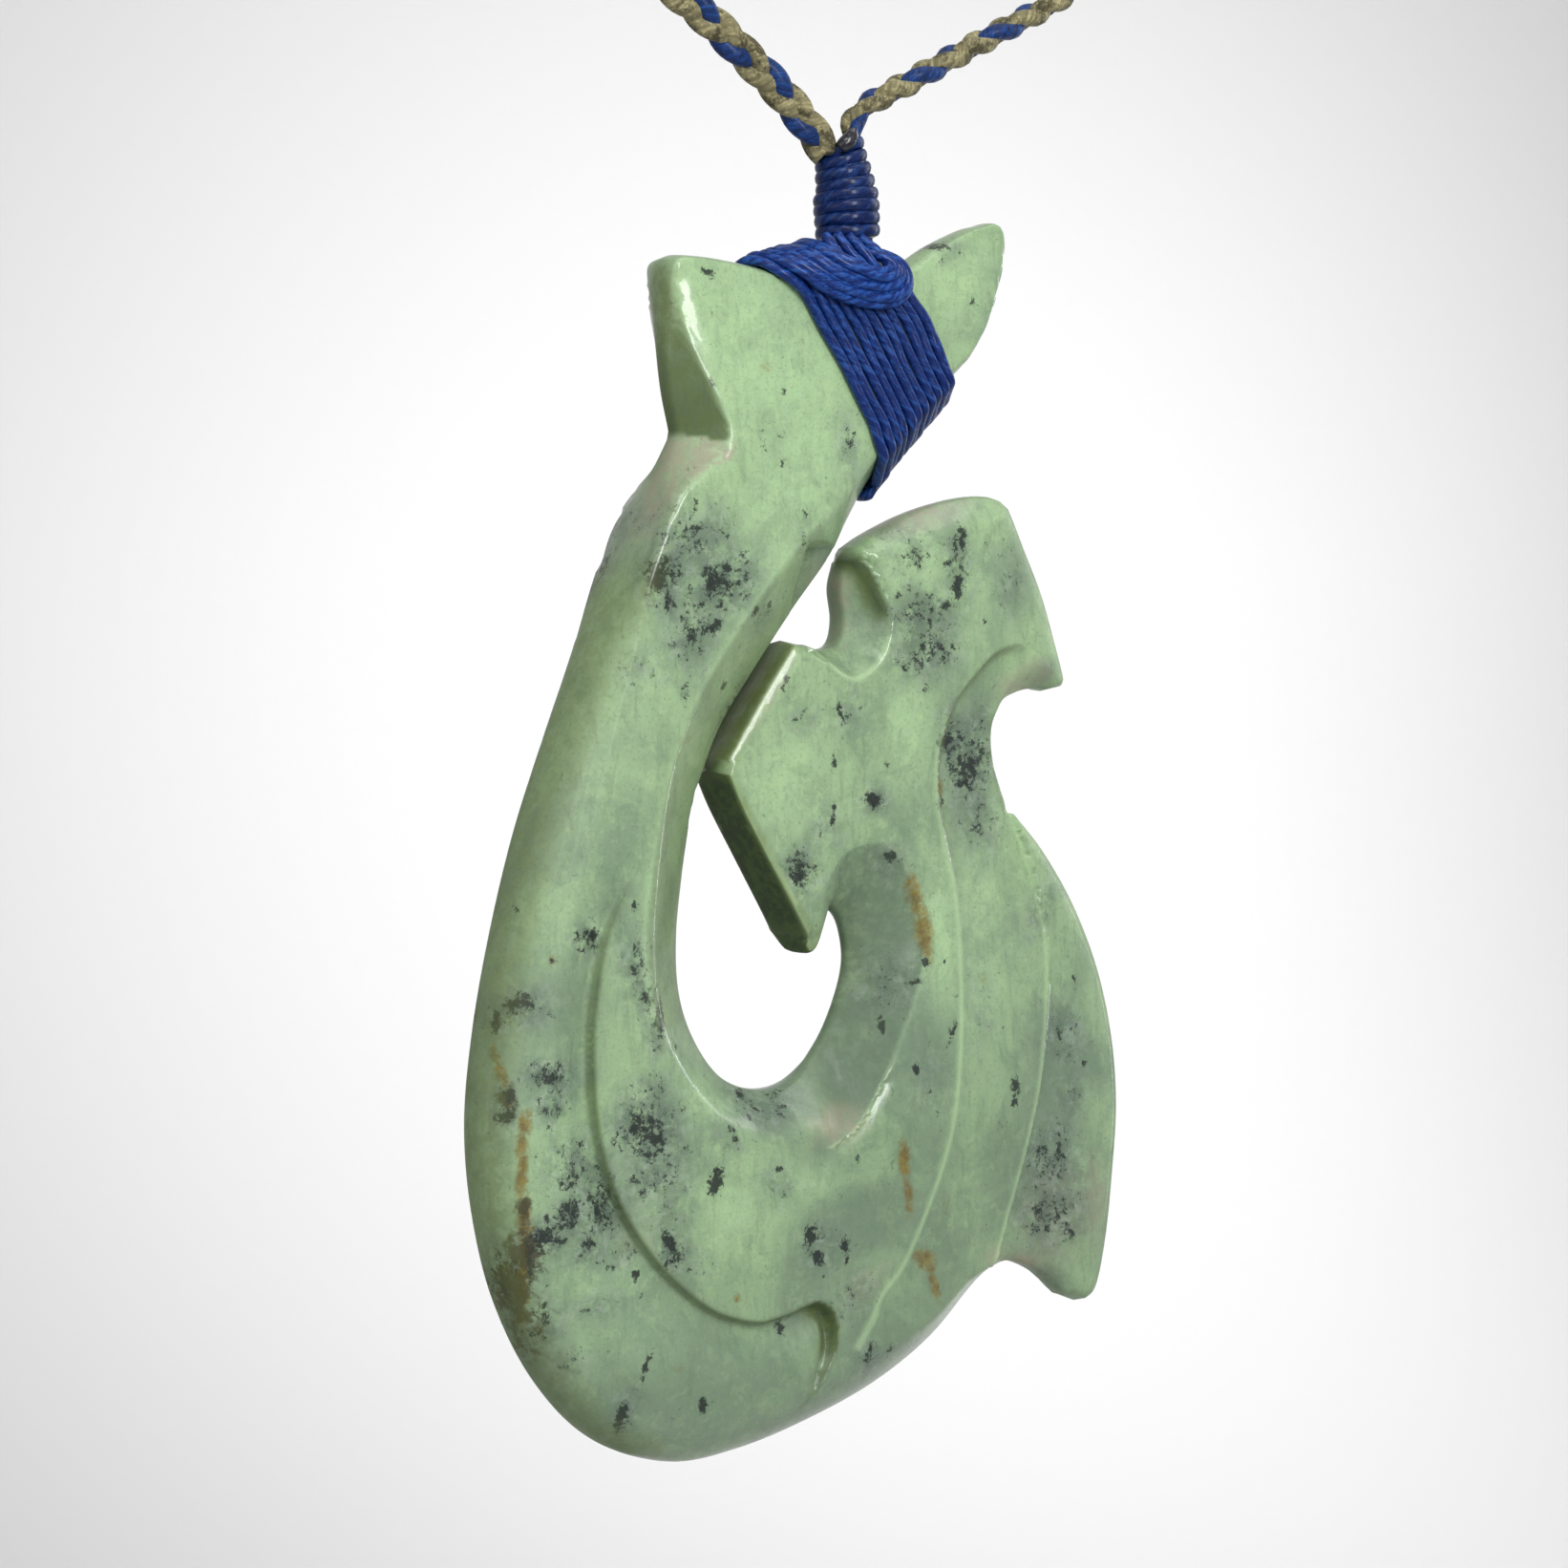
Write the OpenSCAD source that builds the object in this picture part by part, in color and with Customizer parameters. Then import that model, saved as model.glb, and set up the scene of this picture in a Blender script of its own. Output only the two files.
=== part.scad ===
/* [Carving] */
// Thickness of the shank and the base of the hook
hook_t = 8.4; // [7.6:0.2:9.2]
// Thickness of the hammer head
head_t = 4.8; // [4.4:0.2:5.2]
// Thickness of the fin at its root
fin_t = 3.8; // [3.2:0.2:4.4]
// Thickness of the tail at the tips of the flukes
tip_t = 2.6; // [2.2:0.2:3.2]
// Depth of the carved line on the shank and the base
line_depth = 0.9; // [0.5:0.1:1.2]
// Depth of the scoop that ends the carved line
curl_depth = 2.6; // [1.6:0.2:3.2]
// Depth of the step along the gill
gill_depth = 0.6; // [0.3:0.1:0.9]
/* [Lashing] */
// How far the lashing stands proud of the stone
lash_t = 0.85; // [0.65:0.05:1.0]
// How far the crossing turns stand proud of the lashing
cross_t = 1.2; // [0.8:0.1:1.4]
// Diameter of the whipping over the two cord ends
whip_d = 4.8; // [4.6:0.1:5.2]
// Height of the whipping
whip_h = 7.0; // [6.8:0.1:7.2]
// Diameter of the sealed end of the thread
thread_end_d = 1.1; // [0.8:0.1:1.2]
// Gap left between one piece and the next
gap = 0.12; // [0.08:0.02:0.2]
/* [Neck cord] */
// Diameter of the plaited neck cord
cord_d = 2.4; // [2.0:0.1:2.4]
/* [Hidden] */
// Height from the foot of the whipping up to the top of the cord loop
drop = 108;
// Columns of the outline tables: x, z, width of the bevel, depth of the bevel
X = 0;
Z = 1;
WIDE = 2;
DEEP = 3;
// Steps from one row to the next, along an outline and along the cord route
OUTLINE_N = 3;
ROUTE_N = 2;
// Thickness of the blunt rim that is left between the front and the back bevel
rim_t = 0.8;
// More than any piece reaches from the middle
FAR = 50;
// How far a slope's cutter starts above the stone, so that the two surfaces cross
lift = 0.06;
// Outline of the hook, anticlockwise from the tip of the right fluke
tail_top = [
    [13.7, 1.7, 0.6, 3.6],
    [10.8, 0.9, 1.0, 3.6],
    [7.6, -0.5, 1.6, 3.6],
    [4.6, -2.2, 1.6, 3.6],
    [0.8, -3.4, 1.6, 3.6],
    [-3.4, -3.8, 1.6, 3.6],
    [-6.8, -3.3, 1.6, 3.6],
    [-10.0, -2.7, 1.6, 3.6],
    [-13.2, -2.3, 1.4, 3.6],
    [-16.2, -2.3, 1.0, 3.6]];
fluke_side = [
    [-17.0, -2.8, 1.0, 3.6],
    [-17.6, -5.6, 2.4, 3.6],
    [-17.4, -9.0, 3.6, 3.6],
    [-17.0, -12.4, 4.2, 3.6],
    [-16.3, -15.4, 4.4, 3.6]];
shank_side = [
    [-16.4, -16.0, 4.0, 3.6],
    [-17.4, -18.0, 2.4, 3.6],
    [-18.8, -21.0, 1.6, 3.6],
    [-21.1, -25.8, 1.6, 3.6],
    [-24.3, -32.2, 1.9, 3.6],
    [-27.3, -38.8, 2.3, 3.6],
    [-29.9, -45.4, 2.6, 3.6],
    [-32.0, -52.8, 2.8, 3.6],
    [-33.5, -60.0, 3.0, 3.6],
    [-34.2, -66.8, 3.2, 3.6],
    [-33.6, -73.4, 3.4, 3.6],
    [-31.8, -80.0, 3.6, 3.6],
    [-28.4, -86.2, 3.6, 3.6],
    [-23.6, -90.9, 3.4, 3.6],
    [-17.4, -93.2, 3.2, 3.6],
    [-11.2, -92.8, 3.0, 3.6],
    [-4.6, -91.2, 3.0, 3.6],
    [1.6, -89.0, 3.0, 3.6],
    [7.0, -86.0, 3.0, 3.6],
    [11.0, -82.4, 3.0, 3.6]];
body_side = [
    [12.6, -80.6, 1.0, 3.0],
    [14.0, -76.0, 0.6, 2.0],
    [15.8, -70.4, 0.6, 1.6],
    [17.2, -64.4, 0.6, 1.6],
    [17.9, -58.2, 0.6, 1.8],
    [17.6, -52.8, 0.6, 2.0],
    [16.4, -48.4, 0.6, 2.0],
    [14.4, -44.4, 0.6, 2.0]];
neck_cut = [
    [10.6, -44.0, 0.2, 0.2],
    [4.0, -46.0, 0.2, 0.2],
    [-1.0, -49.6, 0.2, 0.2]];
hole_side = [
    [-2.2, -51.4, 0.8, 1.0],
    [-0.5, -53.4, 3.0, 3.0],
    [0.0, -56.0, 5.0, 4.4],
    [-0.8, -59.0, 5.0, 4.4],
    [-2.8, -62.2, 4.4, 4.0],
    [-5.8, -64.9, 3.6, 3.6],
    [-9.2, -65.4, 3.4, 3.6],
    [-12.4, -64.2, 3.6, 3.6],
    [-14.8, -61.2, 4.0, 3.6],
    [-16.1, -57.6, 4.6, 3.6],
    [-16.3, -53.4, 5.0, 3.6],
    [-15.7, -49.0, 5.0, 3.6],
    [-14.6, -45.0, 5.0, 3.6]];
shank_inner = [
    [-14.6, -42.0, 5.0, 3.6],
    [-12.6, -37.6, 5.0, 3.6],
    [-9.4, -33.2, 5.0, 3.6],
    [-6.0, -29.0, 4.8, 3.6],
    [-2.8, -25.0, 4.4, 3.6],
    [-0.8, -21.9, 3.4, 3.6],
    [1.6, -18.7, 2.6, 3.6],
    [4.5, -15.6, 2.4, 3.6],
    [7.6, -12.5, 2.2, 3.6]];
fluke_right = [
    [10.8, -9.6, 2.0, 3.6],
    [12.6, -6.8, 1.6, 3.6],
    [13.9, -3.4, 1.2, 3.6],
    [14.5, -0.2, 0.8, 3.6]];
// Outline of the head, anticlockwise from the corner at its top right
head_top = [
    [13.6, -20.0, 2.0, 1.8],
    [10.8, -20.0, 2.0, 1.8],
    [7.8, -20.6, 2.0, 1.8],
    [4.6, -21.6, 2.0, 1.8],
    [1.6, -23.0, 1.6, 1.4],
    [0.3, -24.0, 0.8, 1.0]];
notch_side = [
    [-0.2, -25.2, 2.0, 3.4],
    [-0.7, -27.2, 3.0, 4.0],
    [-0.4, -29.6, 2.8, 4.0],
    [-1.0, -31.4, 2.2, 3.6],
    [-2.8, -31.9, 1.4, 2.8],
    [-4.8, -31.5, 0.8, 1.6]];
hammer_upper = [
    [-6.4, -31.2, 0.7, 1.0],
    [-9.0, -34.7, 0.8, 1.0],
    [-11.2, -37.8, 0.8, 1.0],
    [-12.8, -40.1, 0.6, 0.8]];
hammer_lower = [
    [-12.9, -40.9, 0.2, 0.2],
    [-11.4, -43.8, 0.2, 0.2],
    [-9.2, -47.2, 0.2, 0.2],
    [-7.0, -50.8, 0.2, 0.2],
    [-5.2, -53.8, 0.2, 0.2]];
hammer_tip = [
    [-4.7, -54.9, 0.2, 0.4],
    [-4.3, -55.3, 0.2, 0.4],
    [-3.9, -54.7, 0.2, 0.4],
    [-3.5, -53.0, 0.2, 0.4],
    [-3.0, -51.4, 0.2, 0.4]];
head_root = [
    [0.4, -51.0, 0.2, 0.2],
    [4.4, -51.6, 0.2, 0.2],
    [8.4, -50.6, 0.2, 0.2],
    [11.4, -47.6, 0.2, 0.2]];
bite_side = [
    [14.3, -44.0, 0.4, 0.6],
    [13.1, -40.8, 0.4, 0.6],
    [13.0, -38.0, 0.6, 0.8],
    [14.2, -36.1, 2.0, 1.6],
    [16.2, -35.3, 2.4, 1.8],
    [18.4, -35.1, 2.0, 1.6]];
head_right = [
    [20.3, -34.6, 1.0, 1.2],
    [19.8, -31.8, 2.4, 1.8],
    [18.4, -27.6, 3.0, 1.8],
    [16.6, -23.8, 3.0, 1.8],
    [14.7, -20.6, 2.4, 1.8]];
// Outline of the fin, anticlockwise from the corner under it
fin_under = [
    [12.6, -80.9, 0.3, 0.3],
    [15.2, -80.5, 1.2, 1.0],
    [18.2, -81.6, 1.4, 1.0],
    [20.8, -83.7, 1.2, 1.0]];
fin_edge = [
    [22.4, -84.3, 0.8, 0.8],
    [23.9, -83.2, 1.2, 1.0],
    [25.1, -79.2, 1.8, 1.2],
    [25.8, -74.0, 2.4, 1.2],
    [26.2, -68.6, 2.6, 1.2],
    [25.7, -63.2, 2.6, 1.2],
    [24.2, -57.6, 2.4, 1.2],
    [21.7, -52.4, 1.8, 1.2],
    [18.5, -48.0, 1.2, 1.0],
    [15.4, -45.0, 0.4, 0.4]];
fin_root = [
    [13.4, -47.6, 0.2, 0.2],
    [12.6, -57.0, 0.2, 0.2],
    [11.6, -68.0, 0.2, 0.2],
    [10.0, -77.0, 0.2, 0.2]];
// Half thickness of the stone, up the body and from the tail down the shank: columns z, half thickness
body_half = [
    [-100, hook_t / 2],
    [-66, hook_t / 2],
    [-50, head_t / 2 - 0.1],
    [-40, head_t / 2 - 0.1]];
tail_half = [
    [-34, hook_t / 2],
    [-16, hook_t / 2 - 0.6],
    [3, tip_t / 2]];
shank_half = [
    [-100, hook_t / 2],
    [-34, hook_t / 2]];
// Where the shank and the body meet, under the hole
meet_x = -9;
// Columns of the tables of carved slopes: x, z, width of the slope, depth of the slope
// Line from the shank round the base; the slope falls to it from its outer side
carved_line = [
    [-22.2, -48.2, 4.0, 0.1],
    [-24.0, -51.6, 4.2, 0.7 * line_depth],
    [-25.3, -56.0, 4.2, line_depth],
    [-25.8, -61.0, 4.2, line_depth],
    [-25.5, -66.2, 4.2, line_depth],
    [-24.4, -71.2, 4.2, line_depth],
    [-21.8, -75.6, 4.2, line_depth],
    [-18.0, -79.4, 4.2, line_depth],
    [-13.6, -82.0, 4.2, line_depth],
    [-9.2, -82.6, 4.2, line_depth],
    [-5.8, -81.8, 4.2, line_depth]];
// Ridge up the body; the slope falls away from it towards the fin
ridge_line = [
    [1.6, -80.4, 7.6, 0.3],
    [4.9, -75.2, 7.8, 1.2],
    [7.2, -69.6, 8.2, 1.5],
    [8.6, -63.2, 8.6, 1.5],
    [9.2, -57.0, 8.8, 1.3],
    [9.2, -51.4, 8.6, 1.0],
    [8.0, -47.6, 7.6, 0.6]];
// Scoop at the end of the carved line: columns x, z, radius
curl_spots = [
    [-5.1, -83.0, 1.2],
    [-4.7, -84.6, 0.9],
    [-5.5, -86.6, 0.4]];
// Area cut away between the gill and the bite, which starts along the gill: columns x, z
gill_line = [
    [15.8, -31.8],
    [14.0, -31.4],
    [11.6, -32.4],
    [9.2, -34.4],
    [7.4, -36.8],
    [6.6, -39.8],
    [6.6, -42.6]];
bite_line = [
    [10.0, -44.2],
    [16.0, -44.2],
    [12.8, -40.0],
    [13.2, -36.4],
    [15.6, -33.6]];
// Outline of the lashing round the root of the right fluke, anticlockwise from its top right
lash_top = [
    [4.2, -1.5, 0.8, 3.2],
    [0.8, -2.4, 0.8, 3.2],
    [-3.4, -2.8, 0.8, 3.2],
    [-7.0, -2.3, 0.8, 3.2]];
lash_left = [
    [-8.2, -2.8, 0.4, 0.8],
    [-6.1, -6.4, 0.4, 0.8],
    [-3.7, -10.8, 0.4, 0.8],
    [-1.7, -14.8, 0.4, 0.8],
    [-1.2, -18.6, 0.4, 0.8]];
lash_low = [
    [-0.4, -20.7, 1.4, 3.2],
    [2.6, -18.1, 2.2, 3.4],
    [5.5, -15.2, 2.2, 3.4],
    [7.5, -13.0, 2.0, 3.2]];
lash_right = [
    [7.8, -11.8, 0.6, 1.6],
    [7.2, -10.0, 0.4, 0.8],
    [6.4, -8.2, 0.4, 0.8],
    [5.4, -6.2, 0.4, 0.8],
    [4.5, -3.6, 0.4, 0.8]];
// Outline of the crossing turns over the lashing, anticlockwise from the top right
cross_top = [
    [4.7, -1.3, 1.0, 1.2],
    [2.4, -0.4, 1.0, 1.2],
    [-0.6, -0.25, 1.0, 1.2],
    [-3.4, -0.5, 1.0, 1.2],
    [-5.8, -1.4, 0.8, 1.2]];
cross_low = [
    [-7.3, -2.8, 0.8, 1.2],
    [-4.6, -4.0, 0.8, 1.2],
    [-1.6, -5.4, 1.0, 1.2],
    [1.0, -6.3, 1.0, 1.2]];
cross_end = [
    [3.4, -6.2, 1.0, 1.2],
    [5.5, -4.9, 1.2, 1.2],
    [6.1, -2.9, 1.2, 1.2]];
// How far the crossing turns slip sideways from front to back, for each mm of thickness
cross_lean = 0.45;
cross_half = 2.7;
// Route of the neck cord from its left end round to its right end: columns x, z
cord_route = [
    [-2.0, 6.3],
    [-4.4, 8.8],
    [-6.8, 11.0],
    [-9.4, 13.0],
    [-12.6, 15.4],
    [-16.0, 17.6],
    [-26.0, 24.0],
    [-38.0, 31.6],
    [-50.0, 39.4],
    [-61.5, 47.8],
    [-70.0, 57.6],
    [-73.6, 69.6],
    [-72.6, 82.4],
    [-67.0, 93.6],
    [-57.0, 102.0],
    [-43.0, 107.0],
    [-28.0, 108.8],
    [-14.0, 109.2],
    [0.0, 109.2],
    [14.0, 109.2],
    [28.0, 108.8],
    [43.0, 107.0],
    [57.0, 102.0],
    [67.0, 93.6],
    [72.6, 82.4],
    [73.6, 69.6],
    [70.0, 57.6],
    [61.5, 47.8],
    [50.0, 39.4],
    [38.0, 31.6],
    [28.0, 24.8],
    [20.4, 19.6],
    [15.8, 17.2],
    [10.6, 14.6],
    [5.6, 12.0],
    [2.4, 10.4],
    [0.6, 9.0],
    [0.3, 7.2]];
CORD_SIDES = 8;
// Place and height of the sealed end of the thread, on top of the whipping
thread_place = [-1.0, -1.45];
thread_h = 1.2;

// Row i of a table, carried straight on past either end
function row_at(t, i) =
    i < 0 ? 2 * t[0] - t[1] : i >= len(t) ? 2 * t[len(t) - 1] - t[len(t) - 2] : t[i];
// Point between rows b and c of four rows, at u from 0 to 1
function between(a, b, c, d, u) =
    0.5 * (2 * b + (c - a) * u + (2 * a - 5 * b + 4 * c - d) * u * u + (3 * b - a - 3 * c + d) * u * u * u);
// Smooth curve through every row of a table, with n steps from row to row
function curve(t, n) = [
    for (i = [0 : len(t) - 2], k = [0 : n - 1])
        between(row_at(t, i - 1), t[i], t[i + 1], row_at(t, i + 2), k / n),
    t[len(t) - 1]];
// One closed outline from several stretches, each a smooth curve of its own
function outline(stretches) = [for (s = stretches) each curve(s, OUTLINE_N)];
function unit(v) = v / norm(v);
function turned_left(d) = [-d[1], d[0]];
// Direction along a closed outline at point i, and along an open route at point i
function along(o, i) =
    let (n = len(o), a = o[(i + n - 1) % n], b = o[(i + 1) % n]) unit([b[X] - a[X], b[Z] - a[Z]]);
function on_route(r, i) =
    let (a = r[max(i - 1, 0)], b = r[min(i + 1, len(r) - 1)]) unit([b[X] - a[X], b[Z] - a[Z]]);
// How deep the front and the back bevel of a row are, with the rim left between them
function front_deep(row, half) = min(row[DEEP], 2 * half - rim_t);
function back_deep(row, half) = min(row[DEEP], 2 * half - rim_t - front_deep(row, half));
// Ring of an outline at heights ys, moved into the material by a share of each bevel's width
function ring(o, share, grow, lean, ys) = [
    for (i = [0 : len(o) - 1])
        let (d = turned_left(along(o, i)), w = share * o[i][WIDE] - grow)
            [o[i][X] + d[0] * w + lean * ys[i], ys[i], o[i][Z] + d[1] * w]];

// Plate in the XZ plane with bevelled edges; grow makes it larger on every side
module plate(o, half, grow = 0, lean = 0) {
    n = len(o);
    level = [for (row = o) half + grow];
    front_rim = [for (row = o) front_deep(row, half) - half - grow];
    back_rim = [for (row = o) half + grow - back_deep(row, half)];
    rings = [
        ring(o, 1, grow, lean, -level),
        ring(o, 0, grow, lean, front_rim),
        ring(o, 0, grow, lean, back_rim),
        ring(o, 1, grow, lean, level)];
    sides = [for (k = [0 : 2], i = [0 : n - 1])
        [k * n + i, k * n + (i + 1) % n, (k + 1) * n + (i + 1) % n, (k + 1) * n + i]];
    front = [for (i = [n - 1 : -1 : 0]) i];
    back = [for (i = [0 : n - 1]) 3 * n + i];
    polyhedron([for (r = rings) each r], concat(sides, [front, back]), convexity = 10);
}

// Space that the stone's thickness fills: a prism along X from a table of half thicknesses
module thickness(rows, x0, x1, grow) {
    back = [for (r = rows) [r[1] + grow, r[0]]];
    front = [for (i = [len(rows) - 1 : -1 : 0]) [-rows[i][1] - grow, rows[i][0]]];
    translate([x0, 0, 0])
        rotate([90, 0, 90])
            linear_extrude(x1 - x0)
                polygon(concat(back, front));
}

// Cutter for a carved slope: level with the stone at one side, and deepest at the other
module slope_cut(rows, halves, deepest_at_line, side) {
    r = curve(rows, OUTLINE_N);
    n = len(r);
    sections = [for (i = [0 : n - 1])
        let (d = side * turned_left(on_route(r, i)), front = -lookup(r[i][Z], halves),
             wide = r[i][WIDE], low = front + r[i][DEEP], top = front - 1,
             corners = deepest_at_line
                 ? [[0, low], [0, top], [wide, top], [wide, front - lift]]
                 : [[0, front - lift], [0, top], [wide + 2, top], [wide + 2, low]])
            [for (p = corners) [r[i][X] + d[0] * p[0], p[1], r[i][Z] + d[1] * p[0]]]];
    sides = [for (i = [0 : n - 2], k = [0 : 3])
        [4 * i + k, 4 * i + (k + 1) % 4, 4 * i + 4 + (k + 1) % 4, 4 * i + 4 + k]];
    ends = [[3, 2, 1, 0], [for (k = [0 : 3]) 4 * (n - 1) + k]];
    faces = concat(sides, ends);
    polyhedron([for (s = sections) each s],
               side > 0 ? faces : [for (f = faces) [for (k = [3 : -1 : 0]) f[k]]], convexity = 6);
}

module hook_blank(grow = 0) {
    o = outline([tail_top, fluke_side, shank_side, body_side, neck_cut, hole_side, shank_inner, fluke_right]);
    intersection() {
        plate(o, hook_t / 2, grow);
        union() {
            thickness(tail_half, -FAR, FAR, grow);
            thickness(shank_half, -FAR, meet_x, grow);
            thickness(body_half, meet_x, FAR, grow);
        }
    }
}

module head() {
    plate(outline([head_top, notch_side, hammer_upper, hammer_lower, hammer_tip,
                   head_root, bite_side, head_right]), head_t / 2);
}

module fin() {
    plate(outline([fin_under, fin_edge, fin_root]), fin_t / 2);
}

module curl_cut() {
    hull()
        for (s = curl_spots)
            translate([s[0], curl_depth - hook_t / 2, s[1]])
                rotate([90, 0, 0])
                    cylinder(h = curl_depth + 1, r1 = s[2], r2 = s[2] * 1.3, $fn = 24);
}

module gill_cut() {
    translate([0, gill_depth - head_t / 2, 0])
        rotate([90, 0, 0])
            linear_extrude(gill_depth + 2)
                polygon(concat(curve(gill_line, OUTLINE_N), bite_line));
}

module lash_blank(grow = 0) {
    o = outline([lash_top, lash_left, lash_low, lash_right]);
    intersection() {
        plate(o, hook_t / 2 + lash_t, grow);
        thickness(tail_half, -FAR, FAR, lash_t + grow);
    }
}

// Puts a piece at its place under the top of the cord loop
module hung() {
    translate([0, 0, -drop]) children();
}

// Joins all that shapes a carved or bound piece in one closed mesh, with its size left as it is
module one_mesh() {
    resize([0, 0, 0]) children();
}

module shark_hook() {
    color("darkseagreen") hung() one_mesh() difference() {
        union() {
            hook_blank();
            head();
            fin();
        }
        slope_cut(carved_line, shank_half, true, -1);
        slope_cut(ridge_line, body_half, false, -1);
        curl_cut();
        gill_cut();
    }
}

module tail_lashing() {
    color("midnightblue") hung() one_mesh() difference() {
        lash_blank();
        hook_blank(gap);
    }
}

module crossing_turns() {
    color("navy") hung() one_mesh() difference() {
        plate(outline([cross_top, cross_low, cross_end]), cross_half + cross_t, 0, cross_lean);
        hook_blank(gap);
        lash_blank(gap);
    }
}

module cord_whipping() {
    d = unit(cord_route[1] - cord_route[0]);
    color("darkblue") hung() difference() {
        rotate_extrude($fn = 48)
            polygon([[0, 0], [whip_d / 2, 0], [whip_d / 2, 3], [whip_d / 2 - 0.6, whip_h], [0, whip_h]]);
        translate([cord_route[0][X] - d[0] * gap, 0, cord_route[0][Z] - d[1] * gap])
            rotate([0, atan2(d[0], d[1]), 0])
                translate([-whip_d, -whip_d, 0])
                    cube(2 * whip_d);
    }
}

module thread_end() {
    ball = thread_h - thread_end_d / 2;
    color("black") hung() translate([thread_place[0], thread_place[1], whip_h + gap]) {
        cylinder(h = ball, d = thread_end_d, $fn = 24);
        translate([0, 0, ball]) sphere(d = thread_end_d, $fn = 24);
    }
}

module neck_cord() {
    r = curve(cord_route, ROUTE_N);
    n = len(r);
    m = CORD_SIDES;
    points = [for (i = [0 : n - 1], k = [0 : m - 1])
        let (d = turned_left(on_route(r, i)), a = 360 * (k + 0.5) / m, s = cord_d / 2 * cos(a))
            [r[i][X] + d[0] * s, cord_d / 2 * sin(a), r[i][Z] + d[1] * s]];
    sides = [for (i = [0 : n - 2], k = [0 : m - 1])
        [m * i + k, m * i + (k + 1) % m, m * i + m + (k + 1) % m, m * i + m + k]];
    ends = [[for (k = [m - 1 : -1 : 0]) k], [for (k = [0 : m - 1]) m * (n - 1) + k]];
    color("darkkhaki") hung() polyhedron(points, concat(sides, ends), convexity = 6);
}

shark_hook();
tail_lashing();
crossing_turns();
cord_whipping();
thread_end();
neck_cord();
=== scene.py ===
"""Carved jade hook with a hammerhead, hung by lashed thread from a plaited neck cord.

Each operator makes one piece, or the stage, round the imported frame. Sizes in the tables are millimetres
in the pendant's own plan: x to the right and z up from the foot of the whipping.
"""

import bpy
import numpy as np
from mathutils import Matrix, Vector
from mathutils.geometry import delaunay_2d_cdt


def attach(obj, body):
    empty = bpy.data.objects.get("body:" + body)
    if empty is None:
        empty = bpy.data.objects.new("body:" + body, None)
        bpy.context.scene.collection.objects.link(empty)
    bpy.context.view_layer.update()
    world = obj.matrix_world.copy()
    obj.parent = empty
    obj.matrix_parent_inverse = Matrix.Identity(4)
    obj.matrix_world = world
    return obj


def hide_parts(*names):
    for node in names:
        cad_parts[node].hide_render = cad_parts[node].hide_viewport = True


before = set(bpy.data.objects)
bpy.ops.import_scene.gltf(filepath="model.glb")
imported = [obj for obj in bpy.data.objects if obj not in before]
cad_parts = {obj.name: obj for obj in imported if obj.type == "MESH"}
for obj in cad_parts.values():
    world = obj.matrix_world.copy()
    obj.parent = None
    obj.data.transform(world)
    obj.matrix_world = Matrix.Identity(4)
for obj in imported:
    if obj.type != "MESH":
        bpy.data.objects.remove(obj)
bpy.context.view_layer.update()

bl_info = {
    "name": "Jade hook pendant",
    "version": (1, 0, 0),
    "blender": (4, 5, 0),
    "location": "3D View > Sidebar > Pendant",
    "description": "Makes the carved stone, its lashing, whipping and plaited cord",
    "category": "Add Mesh",
}

MM = 0.001
# Height of the frame's zero, the inner side of the cord loop's top, over the foot of the whipping
DROP = 108.0
# Half thickness of the shank, the head and the fin, and the least rim between the two bevels
SHANK_HALF = 4.2
HEAD_HALF = 2.4
FIN_HALF = 1.9
RIM = 0.8
# The outline left of this is the left fluke and, below its foot, the shank's outer side
LEFT_SIDE = -15.5
FLUKE_FOOT = -15.7
# The thickness tables are averaged over this much either side
SOFTEN = 3.0
# Width of the blunt nose by which both faces close on the seam
NOSE = 0.28
# Height of a row of the even triangular grid, as a share of the distance between its points
ROW_SHARE = 0.866
# Points round one turn of the lashing, and how far along its map each next turn starts
TURN_POINTS = 160
MAP_STEP = 1.37


def even_bevel(rows, depth, roundness):
    """Rows of x, z and bevel width, each with the same bevel depth and roundness added."""
    return [[*row, depth, roundness] for row in rows]


# Outline of the whole stone, anticlockwise from the tip of the right fluke, in stretches that meet at
# corners. Columns: x, z, width of the bevel, depth of the bevel, roundness of the bevel
TAIL_TOP = even_bevel([
    [13.8, 1.35, 0.6], [13.2, 1.55, 0.6], [12.3, 1.3, 0.7], [10.8, 0.9, 1], [7.6, -0.5, 1.6],
    [4.6, -2.2, 1.6], [0.8, -3.4, 1.6], [-3.4, -3.8, 1.6], [-6.8, -3.3, 1.6], [-10, -2.7, 1.6],
    [-13.2, -2.3, 1.4], [-15.6, -2.2, 1.1], [-16.5, -2.25, 1]], 3.6, 0.2)
FLUKE_SIDE = even_bevel([
    [-17.1, -2.5, 0.6], [-17.5, -3.2, 0.7], [-17.6, -5.6, 1.3], [-17.4, -9, 2.5], [-17, -12.4, 3.5],
    [-16.3, -15.4, 3.9]], 3.6, 0.05)
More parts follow.
